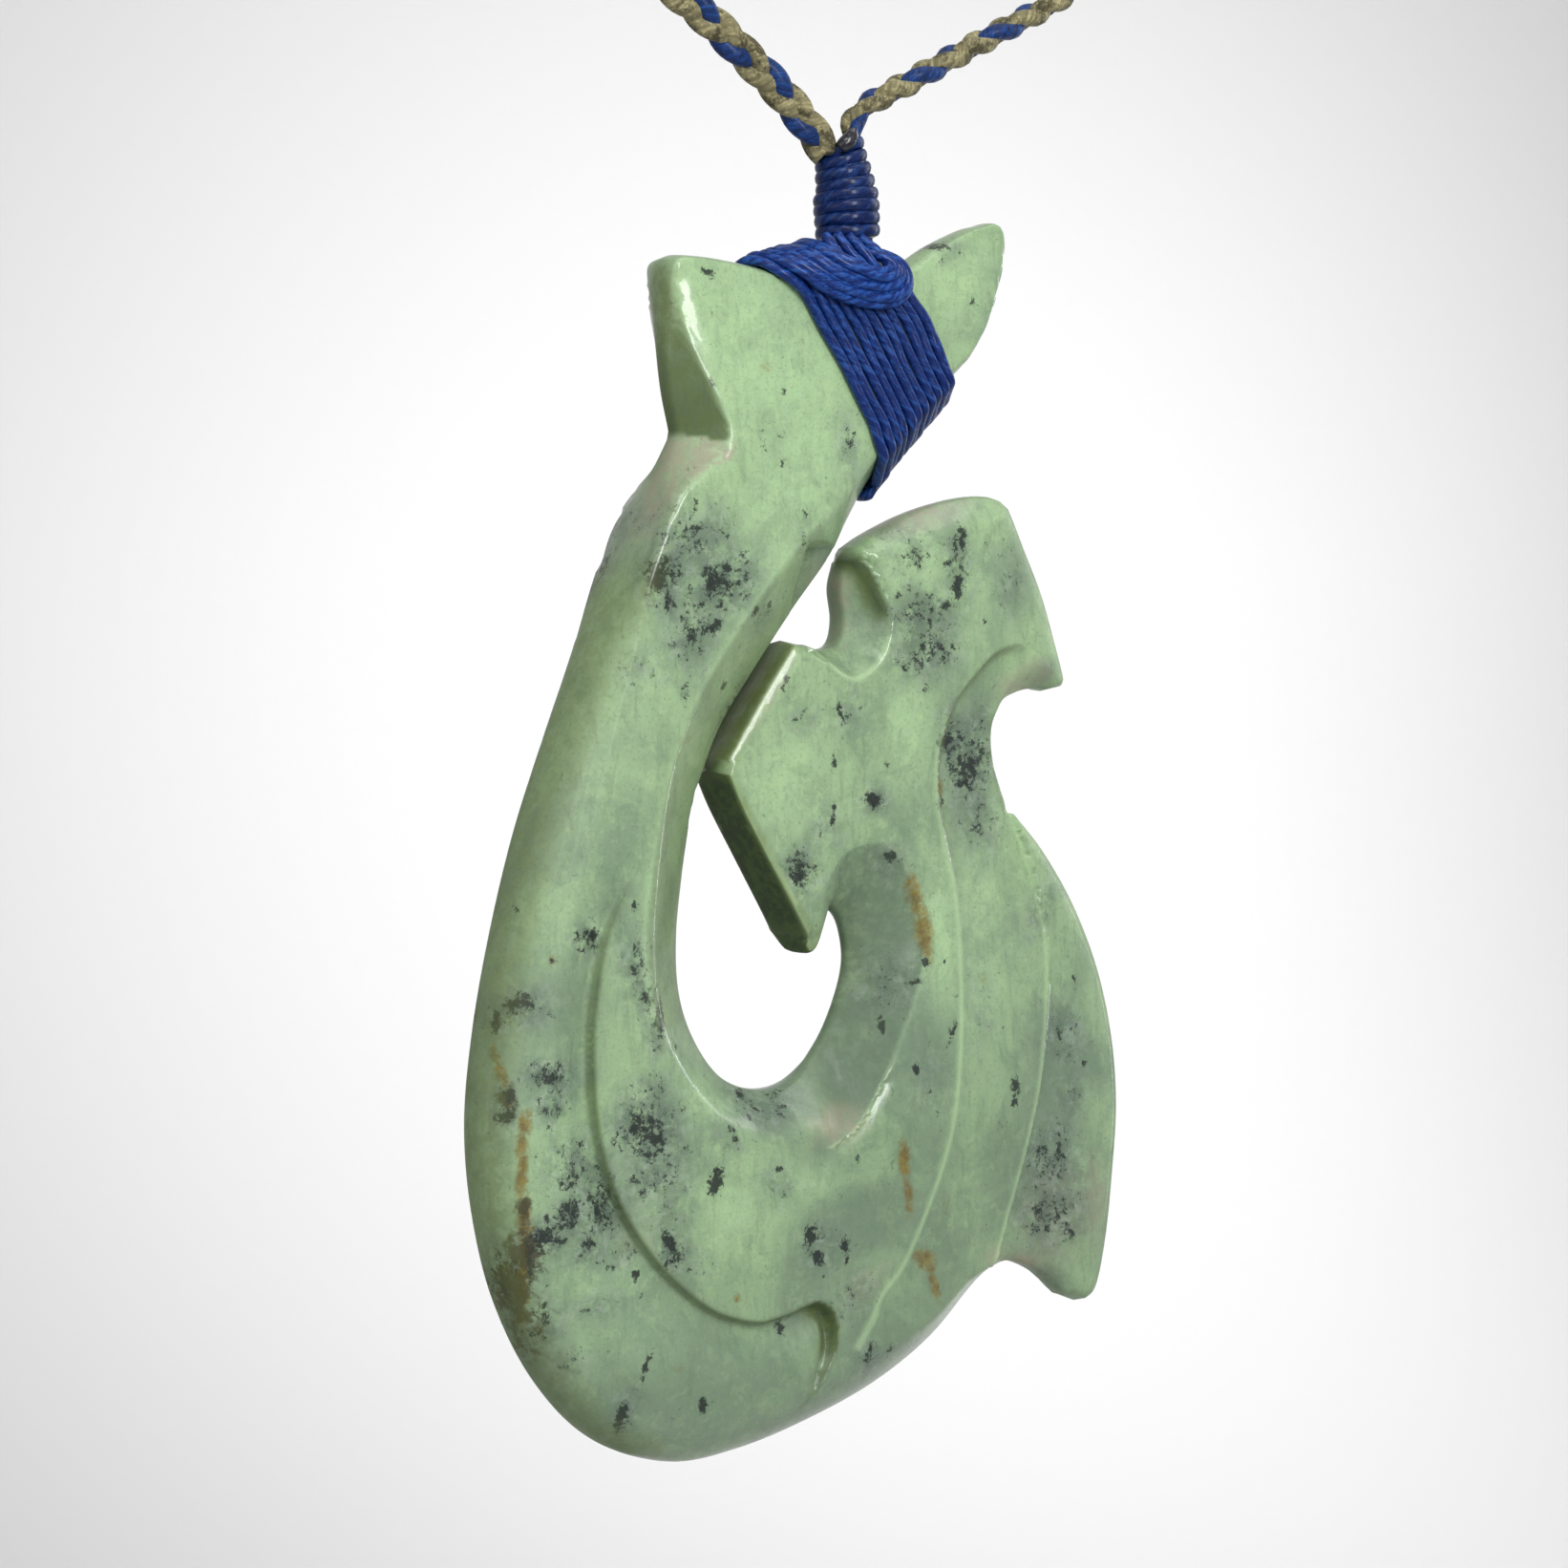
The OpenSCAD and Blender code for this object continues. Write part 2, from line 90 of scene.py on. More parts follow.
SHANK_SIDE = [
    [-16.4, -16, 3.8, 3.6, 0.1], [-17.4, -18, 1.8, 3.6, 0.1], [-18.8, -21, 0.5, 3.6, 0.2],
    [-21.1, -25.8, 0.5, 3.6, 0.7], [-24.3, -32.2, 1.3, 3.6, 0.8], [-27.3, -38.8, 2.1, 3.6, 0.85],
    [-29.9, -45.4, 2.8, 3.6, 0.85], [-32, -52.8, 3, 3.6, 0.85], [-33.5, -60, 3.2, 3.6, 0.85],
    [-34.2, -66.8, 3.4, 3.6, 0.85], [-33.6, -73.4, 3.6, 3.6, 0.85], [-31.8, -80, 3.8, 3.6, 0.85],
    [-28.4, -86.2, 3.8, 3.6, 0.85], [-23.6, -90.9, 3.6, 3.6, 0.8], [-17.4, -93.2, 3.4, 3.6, 0.75],
    [-11.2, -92.8, 3.2, 3.6, 0.7], [-4.6, -91.2, 3.2, 3.6, 0.6], [1.6, -89, 3.2, 3.6, 0.5],
    [7, -86, 3.2, 3.6, 0.4], [11, -82.4, 3, 3.6, 0.4]]
BODY_CORNER = [
    [12.6, -80.7, 1, 3, 0.2], [12.7, -80.8, 0.6, 2, 0.2]]
FIN_UNDER = [
    [12.9, -80.9, 0.6, 0.8, 0.3], [15.2, -80.5, 1.2, 1, 0.4], [18.2, -81.6, 1.4, 1, 0.4],
    [20.8, -83.7, 1.2, 1, 0.4]]
FIN_EDGE = [
    [22.4, -84.3, 0.8, 0.8, 0.4], [23.9, -83.2, 1.2, 1, 0.5], [25.1, -79.2, 1.8, 1.2, 0.5],
    [25.8, -74, 2.4, 1.2, 0.5], [26.2, -68.6, 2.6, 1.2, 0.5], [25.7, -63.2, 2.6, 1.2, 0.5],
    [24.2, -57.6, 2.4, 1.2, 0.5], [21.7, -52.4, 1.8, 1.2, 0.5], [18.5, -48, 1.2, 1, 0.4],
    [15.3, -44.9, 0.6, 0.6, 0.3]]
BITE_SIDE = [
    [14.5, -44, 0.4, 0.6, 0.3], [13.5, -40.8, 0.4, 0.6, 0.3], [13.3, -38, 0.6, 0.8, 0.3],
    [14.3, -36.2, 2, 1.6, 0.3], [16, -35.4, 2.4, 1.8, 0.3], [17.6, -35.1, 2, 1.6, 0.4],
    [18.9, -35.3, 1.4, 1.2, 0.6]]
HEAD_RIGHT = [
    [19.8, -35, 1.4, 1.2, 0.8], [20.2, -34.2, 2, 1.4, 0.9], [19.5, -31.6, 3.6, 1.4, 0.9],
    [18.1, -27.6, 4.2, 1.4, 0.9], [16.3, -23.9, 4.2, 1.4, 0.9], [15.2, -21.7, 3.4, 1.4, 0.9],
    [14.7, -20.8, 2.6, 1.4, 0.8]]
HEAD_TOP = [
    [14.1, -20.2, 2, 1.6, 0.5], [13, -19.9, 2, 1.8, 0.3], [10.8, -20, 2, 1.8, 0.15],
    [7.8, -20.6, 2, 1.8, 0.15], [4.6, -21.6, 2, 1.8, 0.15], [1.6, -23, 1.6, 1.4, 0.15],
    [-0.2, -24.2, 0.8, 1, 0.15]]
NOTCH_SIDE = [
    [-0.4, -25.2, 2, 2.2, 0], [-0.7, -27.2, 3, 2.5, 0], [-0.4, -29.6, 2.8, 2.5, 0],
    [-1, -31.4, 2.2, 2.3, 0], [-2.8, -31.9, 1.4, 1.8, 0], [-4.8, -31.5, 0.8, 1.2, 0]]
HAMMER_UPPER = [
    [-6.4, -31.2, 1.1, 0.48, 0], [-9, -34.7, 1.05, 0.46, 0], [-11.2, -37.8, 0.85, 0.38, 0],
    [-12.8, -40.1, 0.6, 0.3, 0]]
HAMMER_LOWER = [
    [-13, -41.1, 0.2, 0.2, 0], [-11.6, -44, 0.2, 0.2, 0], [-9.5, -47.5, 0.2, 0.2, 0],
    [-7.3, -51.1, 0.2, 0.2, 0], [-6, -53.3, 0.2, 0.3, 0]]
HAMMER_TIP = [
    [-5.8, -53.7, 0.2, 0.4, 0.3], [-5.2, -54.7, 0.5, 0.9, 0.8], [-4.7, -55.2, 0.6, 1, 0.8],
    [-4.2, -55.1, 0.5, 0.9, 0.6], [-3.9, -54.4, 0.3, 0.6, 0.4], [-3.5, -53, 0.2, 0.4, 0],
    [-2.9, -51.6, 0.3, 0.6, 0]]
HOLE_SIDE = [
    [-2.2, -51.6, 0.8, 3.4, 0], [-0.6, -53.2, 3, 4.2, 0], [0, -56, 5, 4.4, 0], [-0.8, -59, 5, 4.4, 0],
    [-2.8, -62.2, 4.4, 4, 0], [-5.8, -64.9, 3.6, 3.6, 0.1], [-9.2, -65.4, 3.4, 3.6, 0.2],
    [-12.4, -64.2, 3.6, 3.6, 0.15], [-14.8, -61.2, 4, 3.6, 0.1], [-16.1, -57.6, 4.6, 3.6, 0.1],
    [-16.3, -53.4, 5, 3.6, 0.1], [-15.8, -49, 5, 3.6, 0.1], [-15.2, -45.4, 5, 3.6, 0.1]]
SHANK_INNER = even_bevel([
    [-14.3, -42, 5], [-12.3, -37.7, 5], [-9.1, -33.3, 5], [-5.7, -29, 4.8], [-2.3, -25, 4.4],
    [-0.5, -21.9, 3.4], [1.6, -18.7, 2.6], [4.5, -15.6, 2.4], [7.6, -12.5, 2.2]], 3.6, 0.1)
FLUKE_RIGHT = even_bevel([
    [10.7, -9.6, 2], [12.4, -6.8, 1.6], [13.6, -3.4, 1.2], [14.05, -1.4, 0.9], [14.2, 0, 0.7],
    [14.1, 0.9, 0.6]], 3.6, 0.2)
# Each stretch with the half thickness that its bevel depths are measured from, and its least rim
STRETCHES = [
    (TAIL_TOP, SHANK_HALF, RIM), (FLUKE_SIDE, SHANK_HALF, RIM), (SHANK_SIDE, SHANK_HALF, RIM),
    (BODY_CORNER, 4.0, RIM), (FIN_UNDER, FIN_HALF, RIM), (FIN_EDGE, FIN_HALF, RIM),
    (BITE_SIDE, HEAD_HALF, RIM), (HEAD_RIGHT, HEAD_HALF, RIM), (HEAD_TOP, HEAD_HALF, RIM),
    (NOTCH_SIDE, HEAD_HALF, 2.0), (HAMMER_UPPER, HEAD_HALF, RIM), (HAMMER_LOWER, HEAD_HALF, RIM),
    (HAMMER_TIP, HEAD_HALF, RIM), (HOLE_SIDE, SHANK_HALF, RIM), (SHANK_INNER, SHANK_HALF, RIM),
    (FLUKE_RIGHT, SHANK_HALF, RIM)]

# Half thickness down the tail and shank, and up the body: columns z, half thickness
TAIL_HALF = [
    [-100, 4.2], [-34, 4.2], [-16, 3.6], [3, 1.3], [10, 0.6]]
BODY_HALF = [
    [-100, 4.2], [-66, 4.2], [-50, 2.4], [0, 2.4]]
# Line that parts the tail and shank from the head and body: columns z, x
DIVIDER = [
    [-100, -9], [-60, -9], [-46, -13], [-42, -13.9], [-40.5, -13.5], [-37.8, -12], [-35, -9.9], [-33, -8.4],
    [-31.2, -7.1], [-29, -4.5], [-27, -3], [-25, -1.6], [-24, -1], [-23, -0.1], [-21.9, 1.5], [-20, 4],
    [-19.5, 30]]

# Carved lines of the front. The ridge up the body and on round the gill: columns x, z, drop beside it,
# then width and depth of the slope that falls away on its right
RIDGE = [
    [-2, -85.4, 0, 6, 0], [-0.6, -83.4, 0, 7, 0.1], [0.4, -81.6, 0, 7.6, 0.3], [2.4, -79.5, 0, 7.6, 0.7],
    [4.8, -75.2, 0, 7.8, 1.2], [7, -69.8, 0, 8.2, 1.4], [8.2, -63.1, 0, 8.6, 1.4], [8.7, -57, 0, 8.8, 1.2],
    [8.7, -52, 0.05, 8.4, 1], [8.1, -48.6, 0.15, 7.6, 0.85], [7.3, -45.6, 0.3, 7, 0.75],
    [6.9, -42.6, 0.45, 6.6, 0.7], [7.1, -39.8, 0.55, 6.4, 0.7], [8, -37.2, 0.6, 6.2, 0.7],
    [9.2, -35.3, 0.6, 6, 0.7], [10.7, -33.8, 0.55, 5.6, 0.7], [12.4, -32.3, 0.45, 5, 0.7],
    [14.2, -31.6, 0.3, 4.4, 0.6], [15.8, -31.6, 0.1, 4, 0.4], [17.6, -32, 0, 4, 0.2]]
# Edge where the body steps down to the fin
FIN_STEP = [
    [12.2, -80.6], [13.7, -76.5], [15.8, -70.6], [17.4, -64.3], [18.2, -57.5], [18, -53.6], [16.6, -48.6],
    [14.7, -44.4]]
# Line round the base, and on round the scoop at its end: columns x, z, depth and width of the slope that
# falls to it from its outer side
CARVED = [
    [-21.2, -46.4, 0, 4], [-22.6, -49, 0.35, 4.4], [-24.6, -53, 0.8, 5], [-25.6, -57.5, 1, 5.4],
    [-25.9, -61, 1.05, 5.6], [-25.7, -65.6, 1.05, 5.6], [-24.7, -70.2, 1.05, 5.6],
    [-22.7, -74.3, 1.05, 5.6], [-19.6, -78.1, 1.05, 5.6], [-15.5, -81.3, 1.05, 5.4], [-11.6, -82.6, 1.1, 5],
    [-9, -82.4, 1.2, 4], [-7, -81.8, 1.6, 3], [-5.6, -81.6, 2.1, 2.6], [-4.3, -82.4, 2.5, 2.4],
    [-3.8, -83.8, 2.5, 2.3], [-4, -85.3, 2.1, 2], [-4.8, -87, 1.4, 1.6], [-6, -88.8, 0.6, 1.4],
    [-7.2, -90.2, 0.1, 1.2]]
# Outer edge of the hollow beside the hole
HOLLOW = [
    [-4.1, -50.1], [-2.5, -47.8], [-0.6, -46.8], [1.7, -46.7], [3.5, -48.2], [4.9, -51.1], [5.5, -53.8],
    [5.2, -56.4], [4, -59.3], [2.4, -62.2], [1, -64.7], [-0.6, -67.2], [-2.4, -69], [-4.8, -70]]
NOTCH_RIM = [
    [-0.4, -24.2], [0.3, -24.9], [0.9, -25.5], [1.5, -26.6], [2.1, -27.8], [2.6, -29], [2.5, -30.4],
    [2.1, -31.8], [1.5, -32.8], [0.7, -33.5], [-0.2, -34], [-1, -34.2], [-2, -33.9], [-3, -33.2],
    [-4.2, -32.3], [-5.6, -31.6]]
# Marks in the stone: columns x, z, half length, half width, turn in degrees, strength. The first are
# the hammer's walls and the shoulder under the left fluke
# The hammer's spots carry painted shade on its walls and a painted highlight on its bevel; the shoulder's
# only dull the polish
HAMMER_SPOTS = [[-9.2, -47.6, 1.6, 9.4, 33, 1], [-9.8, -36, 1.2, 6.4, -36, 1], [-4.8, -54.6, 1.6, 1.4, 0, 1]]
SHOULDER_SPOTS = [[-17.2, -17.2, 3.6, 2.2, 10, 0.95]]
SPECKLE_SPOTS = [
    [-20, -26, 2.2, 2, 60, 1], [-14.4, -26.8, 3.4, 2.6, 20, 0.95], [-17, -23.4, 3.6, 2.2, 10, 0.75],
    [-17, -30.4, 3, 2.2, 70, 0.8], [-19.3, -28.2, 0.9, 1.2, 0, 0.95], [-21.4, -33.2, 2.2, 1.6, 0, 0.45],
    [-26.4, -53.1, 1.4, 1.4, 0, 0.85], [-32.4, -58, 2.8, 1.3, 10, 0.9], [-34.3, -58.8, 0.9, 1, 0, 0.9],
    [-29.8, -63, 2, 1.1, 0, 1], [-29.6, -65.2, 1.6, 1.4, 0, 0.75], [-33.7, -65.2, 1.1, 1.4, 0, 1],
    [-27.8, -69.6, 2.6, 2.2, 0, 0.75], [-21.2, -67.4, 2.9, 2.5, 0, 1], [-20.8, -64.6, 1.6, 1.4, 0, 0.7],
    [-20.6, -71, 2.8, 2.2, 0, 0.7], [-22.2, -55.4, 1.6, 2.4, 0, 0.7], [-21.1, -58, 0.9, 1.6, 0, 0.85],
    [-20.4, -60.4, 1, 1.6, 0, 0.65], [-18.4, -61.4, 0.9, 1.2, 0, 0.55], [-19.4, -73.6, 1.8, 2.4, 30, 0.6],
    [-25.4, -72.8, 2.2, 2.6, 20, 0.9], [-28, -73.6, 1.6, 1.6, 0, 0.85], [-30.4, -75, 2.2, 1.4, 0, 0.95],
    [-26.4, -76, 1.8, 1.4, 0, 0.75], [-33.6, -78, 2, 2.2, 0, 0.95], [-30.4, -81.3, 1.6, 1.6, 0, 0.8],
    [-28.4, -84.6, 1.8, 1.2, 20, 0.6], [-25.6, -80.4, 2, 1.1, 0, 0.5], [-23.4, -76.8, 1.6, 1, 40, 0.55],
    [-18.8, -76.6, 1.5, 1.5, 0, 0.75], [-17.2, -77.6, 1.8, 1.2, 0, 0.45], [-9.6, -66.4, 3.2, 1.6, 0, 0.7],
    [-14.2, -68.6, 1.2, 1.8, 30, 0.55], [-9.2, -72.4, 1.9, 1.5, 0, 0.5], [-5.6, -77.2, 1.8, 2, 0, 0.5],
    [-2.8, -81.4, 3, 1.5, 20, 0.5], [-1, -86.4, 1.6, 1.4, 0, 0.5], [-23.4, -89, 1.2, 2, -20, 0.6],
    [-6.2, -48.8, 1.8, 1.8, 60, 0.9], [-3.6, -45.4, 1.8, 1.6, 0, 0.5], [0.7, -43.6, 1.4, 1.1, 0, 0.8],
    [-1.9, -36.6, 1.6, 1.8, 0, 0.5], [-5.8, -37.4, 1.8, 1.4, 0, 0.45], [5.2, -29.2, 3, 2.2, 0, 0.9],
    [5.6, -32.2, 3, 2.2, 0, 0.8], [4.6, -24.6, 2.6, 1.3, 20, 0.6], [8.8, -25.4, 1.5, 3.4, 5, 0.75],
    [3.8, -22.9, 1.8, 0.8, 0, 0.6], [14, -26.8, 1.6, 2.4, 0, 0.5], [11.8, -25, 1, 1.6, 0, 0.45],
    [10.8, -41, 2.4, 2.4, 0, 1], [9, -39, 1.6, 1.8, 0, 0.95], [8, -37.4, 1, 1.6, 0, 0.7],
    [11.8, -37.6, 1.3, 1.6, 0, 0.55], [11.6, -45, 2.6, 3, 0, 0.55], [2.6, -57.8, 2.4, 1.6, 30, 0.55],
    [2.4, -48.2, 1.5, 1.3, 0, 0.6], [19.8, -62.6, 2, 2.6, 0, 0.6], [18.6, -72.4, 2.6, 2.6, 0, 0.75],
    [18.4, -76.8, 3.2, 2.4, 0, 0.8], [17.6, -52.4, 1.1, 2.6, -20, 0.6], [20.8, -67.4, 1.6, 2, 0, 0.5],
    [-11.6, -36.4, 1, 2.4, -35, 0.7], [-11.8, -48.4, 1.1, 2.6, -30, 0.8], [-8.2, -52.4, 1, 2, -30, 0.7],
    [8.6, -1, 1.6, 0.9, 20, 0.5], [-2.4, -16.4, 1.2, 2.2, 0, 0.55], [-6.8, -23.6, 1, 1.6, 0, 0.5],
    [-10, -29.4, 1.6, 1.2, 40, 0.55], [10.6, -60, 1.6, 3, 0, 0.35], [5, -66, 1.6, 2, 0, 0.35]]
FLECK_SPOTS = [
    [-20.1, -26.3, 1.1, 0.8, 70, 0.9], [-19.4, -28.3, 0.3, 0.7, 0, 0.9], [-15.1, -26.8, 0.9, 0.4, 20, 0.8],
    [-15.2, -30.1, 0.7, 0.35, 30, 1], [-17.4, -30.8, 0.35, 0.5, 0, 1], [-11.3, -29, 0.5, 0.25, 40, 1],
    [-9.5, -28.7, 0.3, 0.5, 0, 0.7], [-16.7, -20.9, 0.2, 0.5, 0, 0.8], [-13.3, -34.6, 0.35, 0.3, 60, 1],
    [-17.9, -35.1, 0.35, 0.8, 0, 0.5], [-14.4, -3.6, 0.6, 0.3, -20, 1], [-8.2, -12.4, 0.3, 0.4, 0, 0.5],
    [-14.7, -11.8, 0.2, 0.5, 20, 0.6], [-8.7, -17.8, 0.3, 0.5, -20, 0.55], [-10.4, -16.2, 0.1, 1.3, 5, 0.6],
    [-6.9, -23.8, 0.3, 0.5, 0, 0.6], [-6.7, -21.5, 0.2, 0.35, 0, 0.7], [7.9, -0.6, 0.6, 0.3, 0, 0.9],
    [10.4, -4.8, 0.25, 0.7, 0, 0.5], [-32.8, -50.8, 0.4, 0.2, -30, 1], [-26, -52.9, 0.4, 0.5, 0, 0.9],
    [-29.5, -54.6, 0.25, 0.25, 0, 0.7], [-33, -57.7, 0.7, 0.3, 10, 0.9], [-34.4, -59, 0.4, 0.7, -10, 1],
    [-30, -63.2, 0.9, 0.35, 0, 1], [-33.2, -64.5, 0.5, 0.7, 20, 1], [-33.8, -66, 0.8, 0.35, 10, 1],
    [-35.2, -67.4, 0.2, 0.35, 0, 0.7], [-20.1, -59.4, 0.35, 1.4, 3, 1], [-21.4, -57.6, 0.4, 0.5, 0, 0.9],
    [-22.2, -50.8, 0.25, 0.4, 0, 0.9], [-18.4, -61.4, 0.25, 0.5, 0, 0.6],
    [-13.5, -68.4, 0.25, 0.9, 30, 0.9], [-17.8, -69.2, 0.45, 0.25, 0, 0.7], [-22, -67.2, 0.8, 0.7, 0, 0.75],
    [-15.2, -71.7, 0.6, 1, -15, 1], [-11.3, -65.6, 0.6, 0.3, 20, 0.9], [-11.5, -67.2, 0.35, 0.4, 0, 0.7],
    [-9.4, -71.2, 0.45, 0.25, 0, 0.7], [-8.9, -73.2, 0.4, 0.4, 0, 0.6], [-28.2, -72.8, 1, 0.5, 30, 0.9],
    [-25.6, -73.4, 0.35, 0.9, 10, 0.9], [-30.5, -74.9, 0.9, 0.6, 0, 1], [-30, -73.5, 0.4, 0.3, 0, 0.9],
    [-26.4, -75.7, 0.6, 0.4, 0, 0.8], [-28.6, -75.3, 0.4, 0.3, 0, 0.8], [-31.6, -76.4, 0.35, 1.6, 0, 0.8],
    [-33.8, -78.4, 0.5, 1.2, 0, 0.7], [-22.3, -78.3, 0.3, 0.4, 0, 1], [-21.9, -79.8, 0.3, 0.2, 0, 0.6],
    [-19.3, -76, 0.35, 1.1, 30, 1], [-18.6, -77.3, 0.4, 0.25, 0, 1], [-21.3, -85.1, 0.2, 1, -25, 1],
    [-23.6, -88.8, 0.45, 1.2, -20, 1], [-16.4, -88.6, 0.4, 0.8, -15, 0.85],
    [-8.8, -83.4, 0.4, 0.5, 0, 0.85], [-6.4, -76.5, 0.6, 0.8, -20, 0.95], [-5.7, -78.3, 0.4, 0.6, 30, 1],
    [-3.3, -77.5, 0.4, 0.7, 10, 1], [-3.1, -78.6, 0.25, 0.5, 0, 0.8], [-3.5, -82.8, 0.3, 0.25, 0, 0.7],
    [2.4, -47.9, 0.45, 0.45, 0, 1], [5.3, -56.2, 0.3, 0.4, 0, 1], [4.2, -57.7, 0.5, 0.2, 0, 0.8],
    [7.1, -56.2, 0.2, 0.35, 0, 0.7], [1.4, -60.9, 0.22, 0.6, 0, 0.95], [7.4, -61.7, 0.25, 0.95, -25, 1],
    [3.7, -64.4, 0.35, 0.4, 0, 1], [14.1, -66.3, 0.5, 0.6, 0, 1], [14, -67.5, 0.3, 0.6, 0, 1],
    [22, -65, 0.25, 0.3, 0, 0.9], [20.9, -58.2, 0.3, 0.3, 0, 0.6], [-2.1, -70.8, 0.2, 0.5, 0, 0.8],
    [1.2, -71.6, 0.2, 0.45, 0, 0.6], [16, -71.6, 0.2, 0.5, 0, 0.6], [-0.9, -86, 0.45, 1, -10, 0.7],
    [1.1, -86, 0.3, 0.6, -10, 0.6], [17.2, -76.5, 0.4, 0.6, 0, 0.7], [20.4, -78.6, 0.5, 0.9, 0, 0.7],
    [17.6, -73.6, 0.4, 0.4, 0, 0.6], [19.4, -71.5, 0.3, 0.5, 0, 0.6], [9.3, -23.2, 0.35, 1, 5, 0.95],
    [8, -25.2, 0.35, 0.3, 0, 0.8], [8.8, -27.1, 0.35, 1.1, -5, 1], [7.7, -28.5, 0.7, 0.3, 10, 0.85],
    [3, -27.8, 0.3, 0.25, 0, 0.8], [7.4, -32.7, 0.3, 0.4, 0, 0.8], [3.6, -33.2, 0.3, 0.25, 0, 0.8],
    [5.7, -35, 0.25, 0.3, 0, 0.7], [11.5, -29.7, 0.2, 0.25, 0, 0.6], [-2.3, -36.9, 0.22, 0.9, 20, 0.95],
    [-3, -40.6, 0.25, 0.6, 0, 0.8], [-3.1, -44.6, 0.25, 0.9, -8, 0.9], [2, -40.8, 0.25, 0.3, 0, 0.7],
    [0.7, -43.5, 0.8, 0.5, -10, 0.95], [-6.7, -37.3, 0.35, 0.2, 0, 0.7], [-6.2, -48.9, 0.6, 0.9, 0, 0.9],
    [7.8, -39, 0.8, 0.6, 20, 1], [10.6, -41, 1.2, 0.7, 0, 0.85], [9.6, -42.4, 0.9, 0.4, 0, 0.8],
    [7.3, -43.9, 0.4, 0.5, 0, 0.9], [-7.6, -34.4, 0.8, 0.25, 55, 0.6], [-2.2, -16, 0.5, 0.3, 60, 0.6],
    [-1.9, -15.4, 0.3, 0.3, 0, 0.6], [-12.1, -47.6, 0.5, 0.9, 30, 0.9], [-7.9, -52.6, 0.5, 0.8, 30, 0.7]]
RUST_SPOTS = [
    [-34.6, -61.4, 0.5, 0.9, 20, 0.9], [-34, -62.8, 0.5, 1.1, 25, 1], [-33.3, -64.4, 0.4, 0.9, 20, 0.7],
    [-31.9, -66.4, 0.7, 1, 0, 0.9], [-32.2, -68.4, 0.6, 1.5, 0, 0.9], [-32.2, -70.6, 0.6, 1.6, 0, 1],
    [-32, -73.4, 0.8, 1.8, 0, 0.9], [-32, -76, 0.5, 1.4, 0, 0.8], [-32.2, -78.6, 0.6, 2, 0, 0.85],
    [-32.4, -81.2, 0.6, 1.4, 0, 0.6], [4.6, -51, 0.7, 1.9, 12, 1], [5.4, -53.8, 0.8, 2.2, 5, 1],
    [2.4, -71.2, 0.6, 1.7, 5, 0.95], [2.8, -74.2, 0.5, 1.6, 5, 0.8], [4.6, -79.2, 1.4, 0.8, -20, 0.9],
    [5.6, -81.2, 0.5, 1.6, 20, 0.85], [7.5, -42.7, 0.5, 0.8, 0, 0.8], [6.8, -75.2, 0.5, 0.9, 0, 0.4],
    [-13.2, -80.7, 0.4, 0.4, 0, 0.8], [-29.5, -54.6, 0.4, 0.4, 0, 0.7], [-17.6, -38.6, 1, 0.6, 20, 0.5],
    [-18.6, -85.6, 0.5, 0.4, 0, 0.5], [11, -57.6, 0.8, 0.6, 0, 0.4], [-9.6, -10.4, 1, 0.6, 40, 0.45],
    [-6.2, -8.6, 0.8, 0.5, 30, 0.35], [-15.4, -52, 0.6, 0.9, 0, 0.35]]
# Where the rust turns dark brown
BROWN_SPOTS = [
    [-33.4, -64.6, 0.8, 1.2, 10, 1], [-32.1, -72.6, 0.8, 1, 0, 0.5], [-32, -76.4, 1.6, 2, 0, 1],
    [-33, -79.4, 1.8, 2.6, 0, 0.9], [-32, -82.4, 1.4, 1.8, 0, 0.7]]
ROSE_SPOTS = [
    [15.2, -35.2, 1.6, 1.2, 0, 0.8], [15.6, -80.8, 2.4, 1, 0, 0.9], [18.8, -77, 3.2, 4, 0, 0.4],
    [-3.6, -68.2, 2.4, 1.3, 10, 0.85], [5.4, -21.3, 4.6, 1.3, 12, 0.85], [16.8, -33.8, 1.6, 1.2, 0, 0.5],
    [-3.4, -28, 1.2, 2.6, 0, 0.7], [-9.6, -35.6, 0.9, 2.6, -35, 0.5], [23.2, -76, 1.2, 3.4, 0, 0.5],
    [12.6, -79.6, 1.6, 0.9, 10, 0.6], [-22.4, -75.6, 1.4, 1.8, 30, 0.25], [-1.2, -80.6, 2, 1, 30, 0.35],
    [-0.8, -28, 0.8, 3, 0, 0.8]]
# Paler patches. Over the tail and the shank's top they partly stand in for the light from above that the
# tail's tilted face catches: painted light.
PALE_SPOTS = [
    [-9.5, -9, 8.5, 9.5, 10, 1], [9, -3, 5, 5, 0, 0.6], [-7.4, -19, 3.6, 9, -30, 1],
    [-14.6, -40, 1.6, 7, -20, 0.7], [-22, -36, 3, 9, -22, 0.4], [6.6, -53, 1.8, 7, 5, 1],
    [-7.4, -41, 4.4, 4, 0, 0.85], [4.8, -26, 3.2, 2, 0, 0.9], [11, -27.6, 2.4, 5, 0, 0.6],
    [-21, -50, 1.4, 5, 0, 0.6], [-29.4, -52, 3, 4.4, -20, 0.3], [-16, -66, 3.4, 2.2, -30, 0.9],
    [-12.6, -74, 5, 3.2, 0, 0.75], [-24.8, -78, 4, 2, 10, 0.7], [-30.4, -70, 2.2, 3, 0, 0.5],
    [-6, -72.6, 3.4, 1.4, 20, 0.7], [21.4, -73.4, 1, 2, 0, 0.8], [-17.6, -63, 1.4, 2.8, 10, 0.5],
    [-22, -83, 4, 2.4, 0, 0.4], [3.6, -38.6, 3, 3.6, 0, 0.9], [19.4, -56.6, 1.2, 3.4, -12, 0.5],
    [-9.5, -16.4, 3.4, 3, 0, 0.7], [11, -54, 2.4, 6, 0, 0.8]]
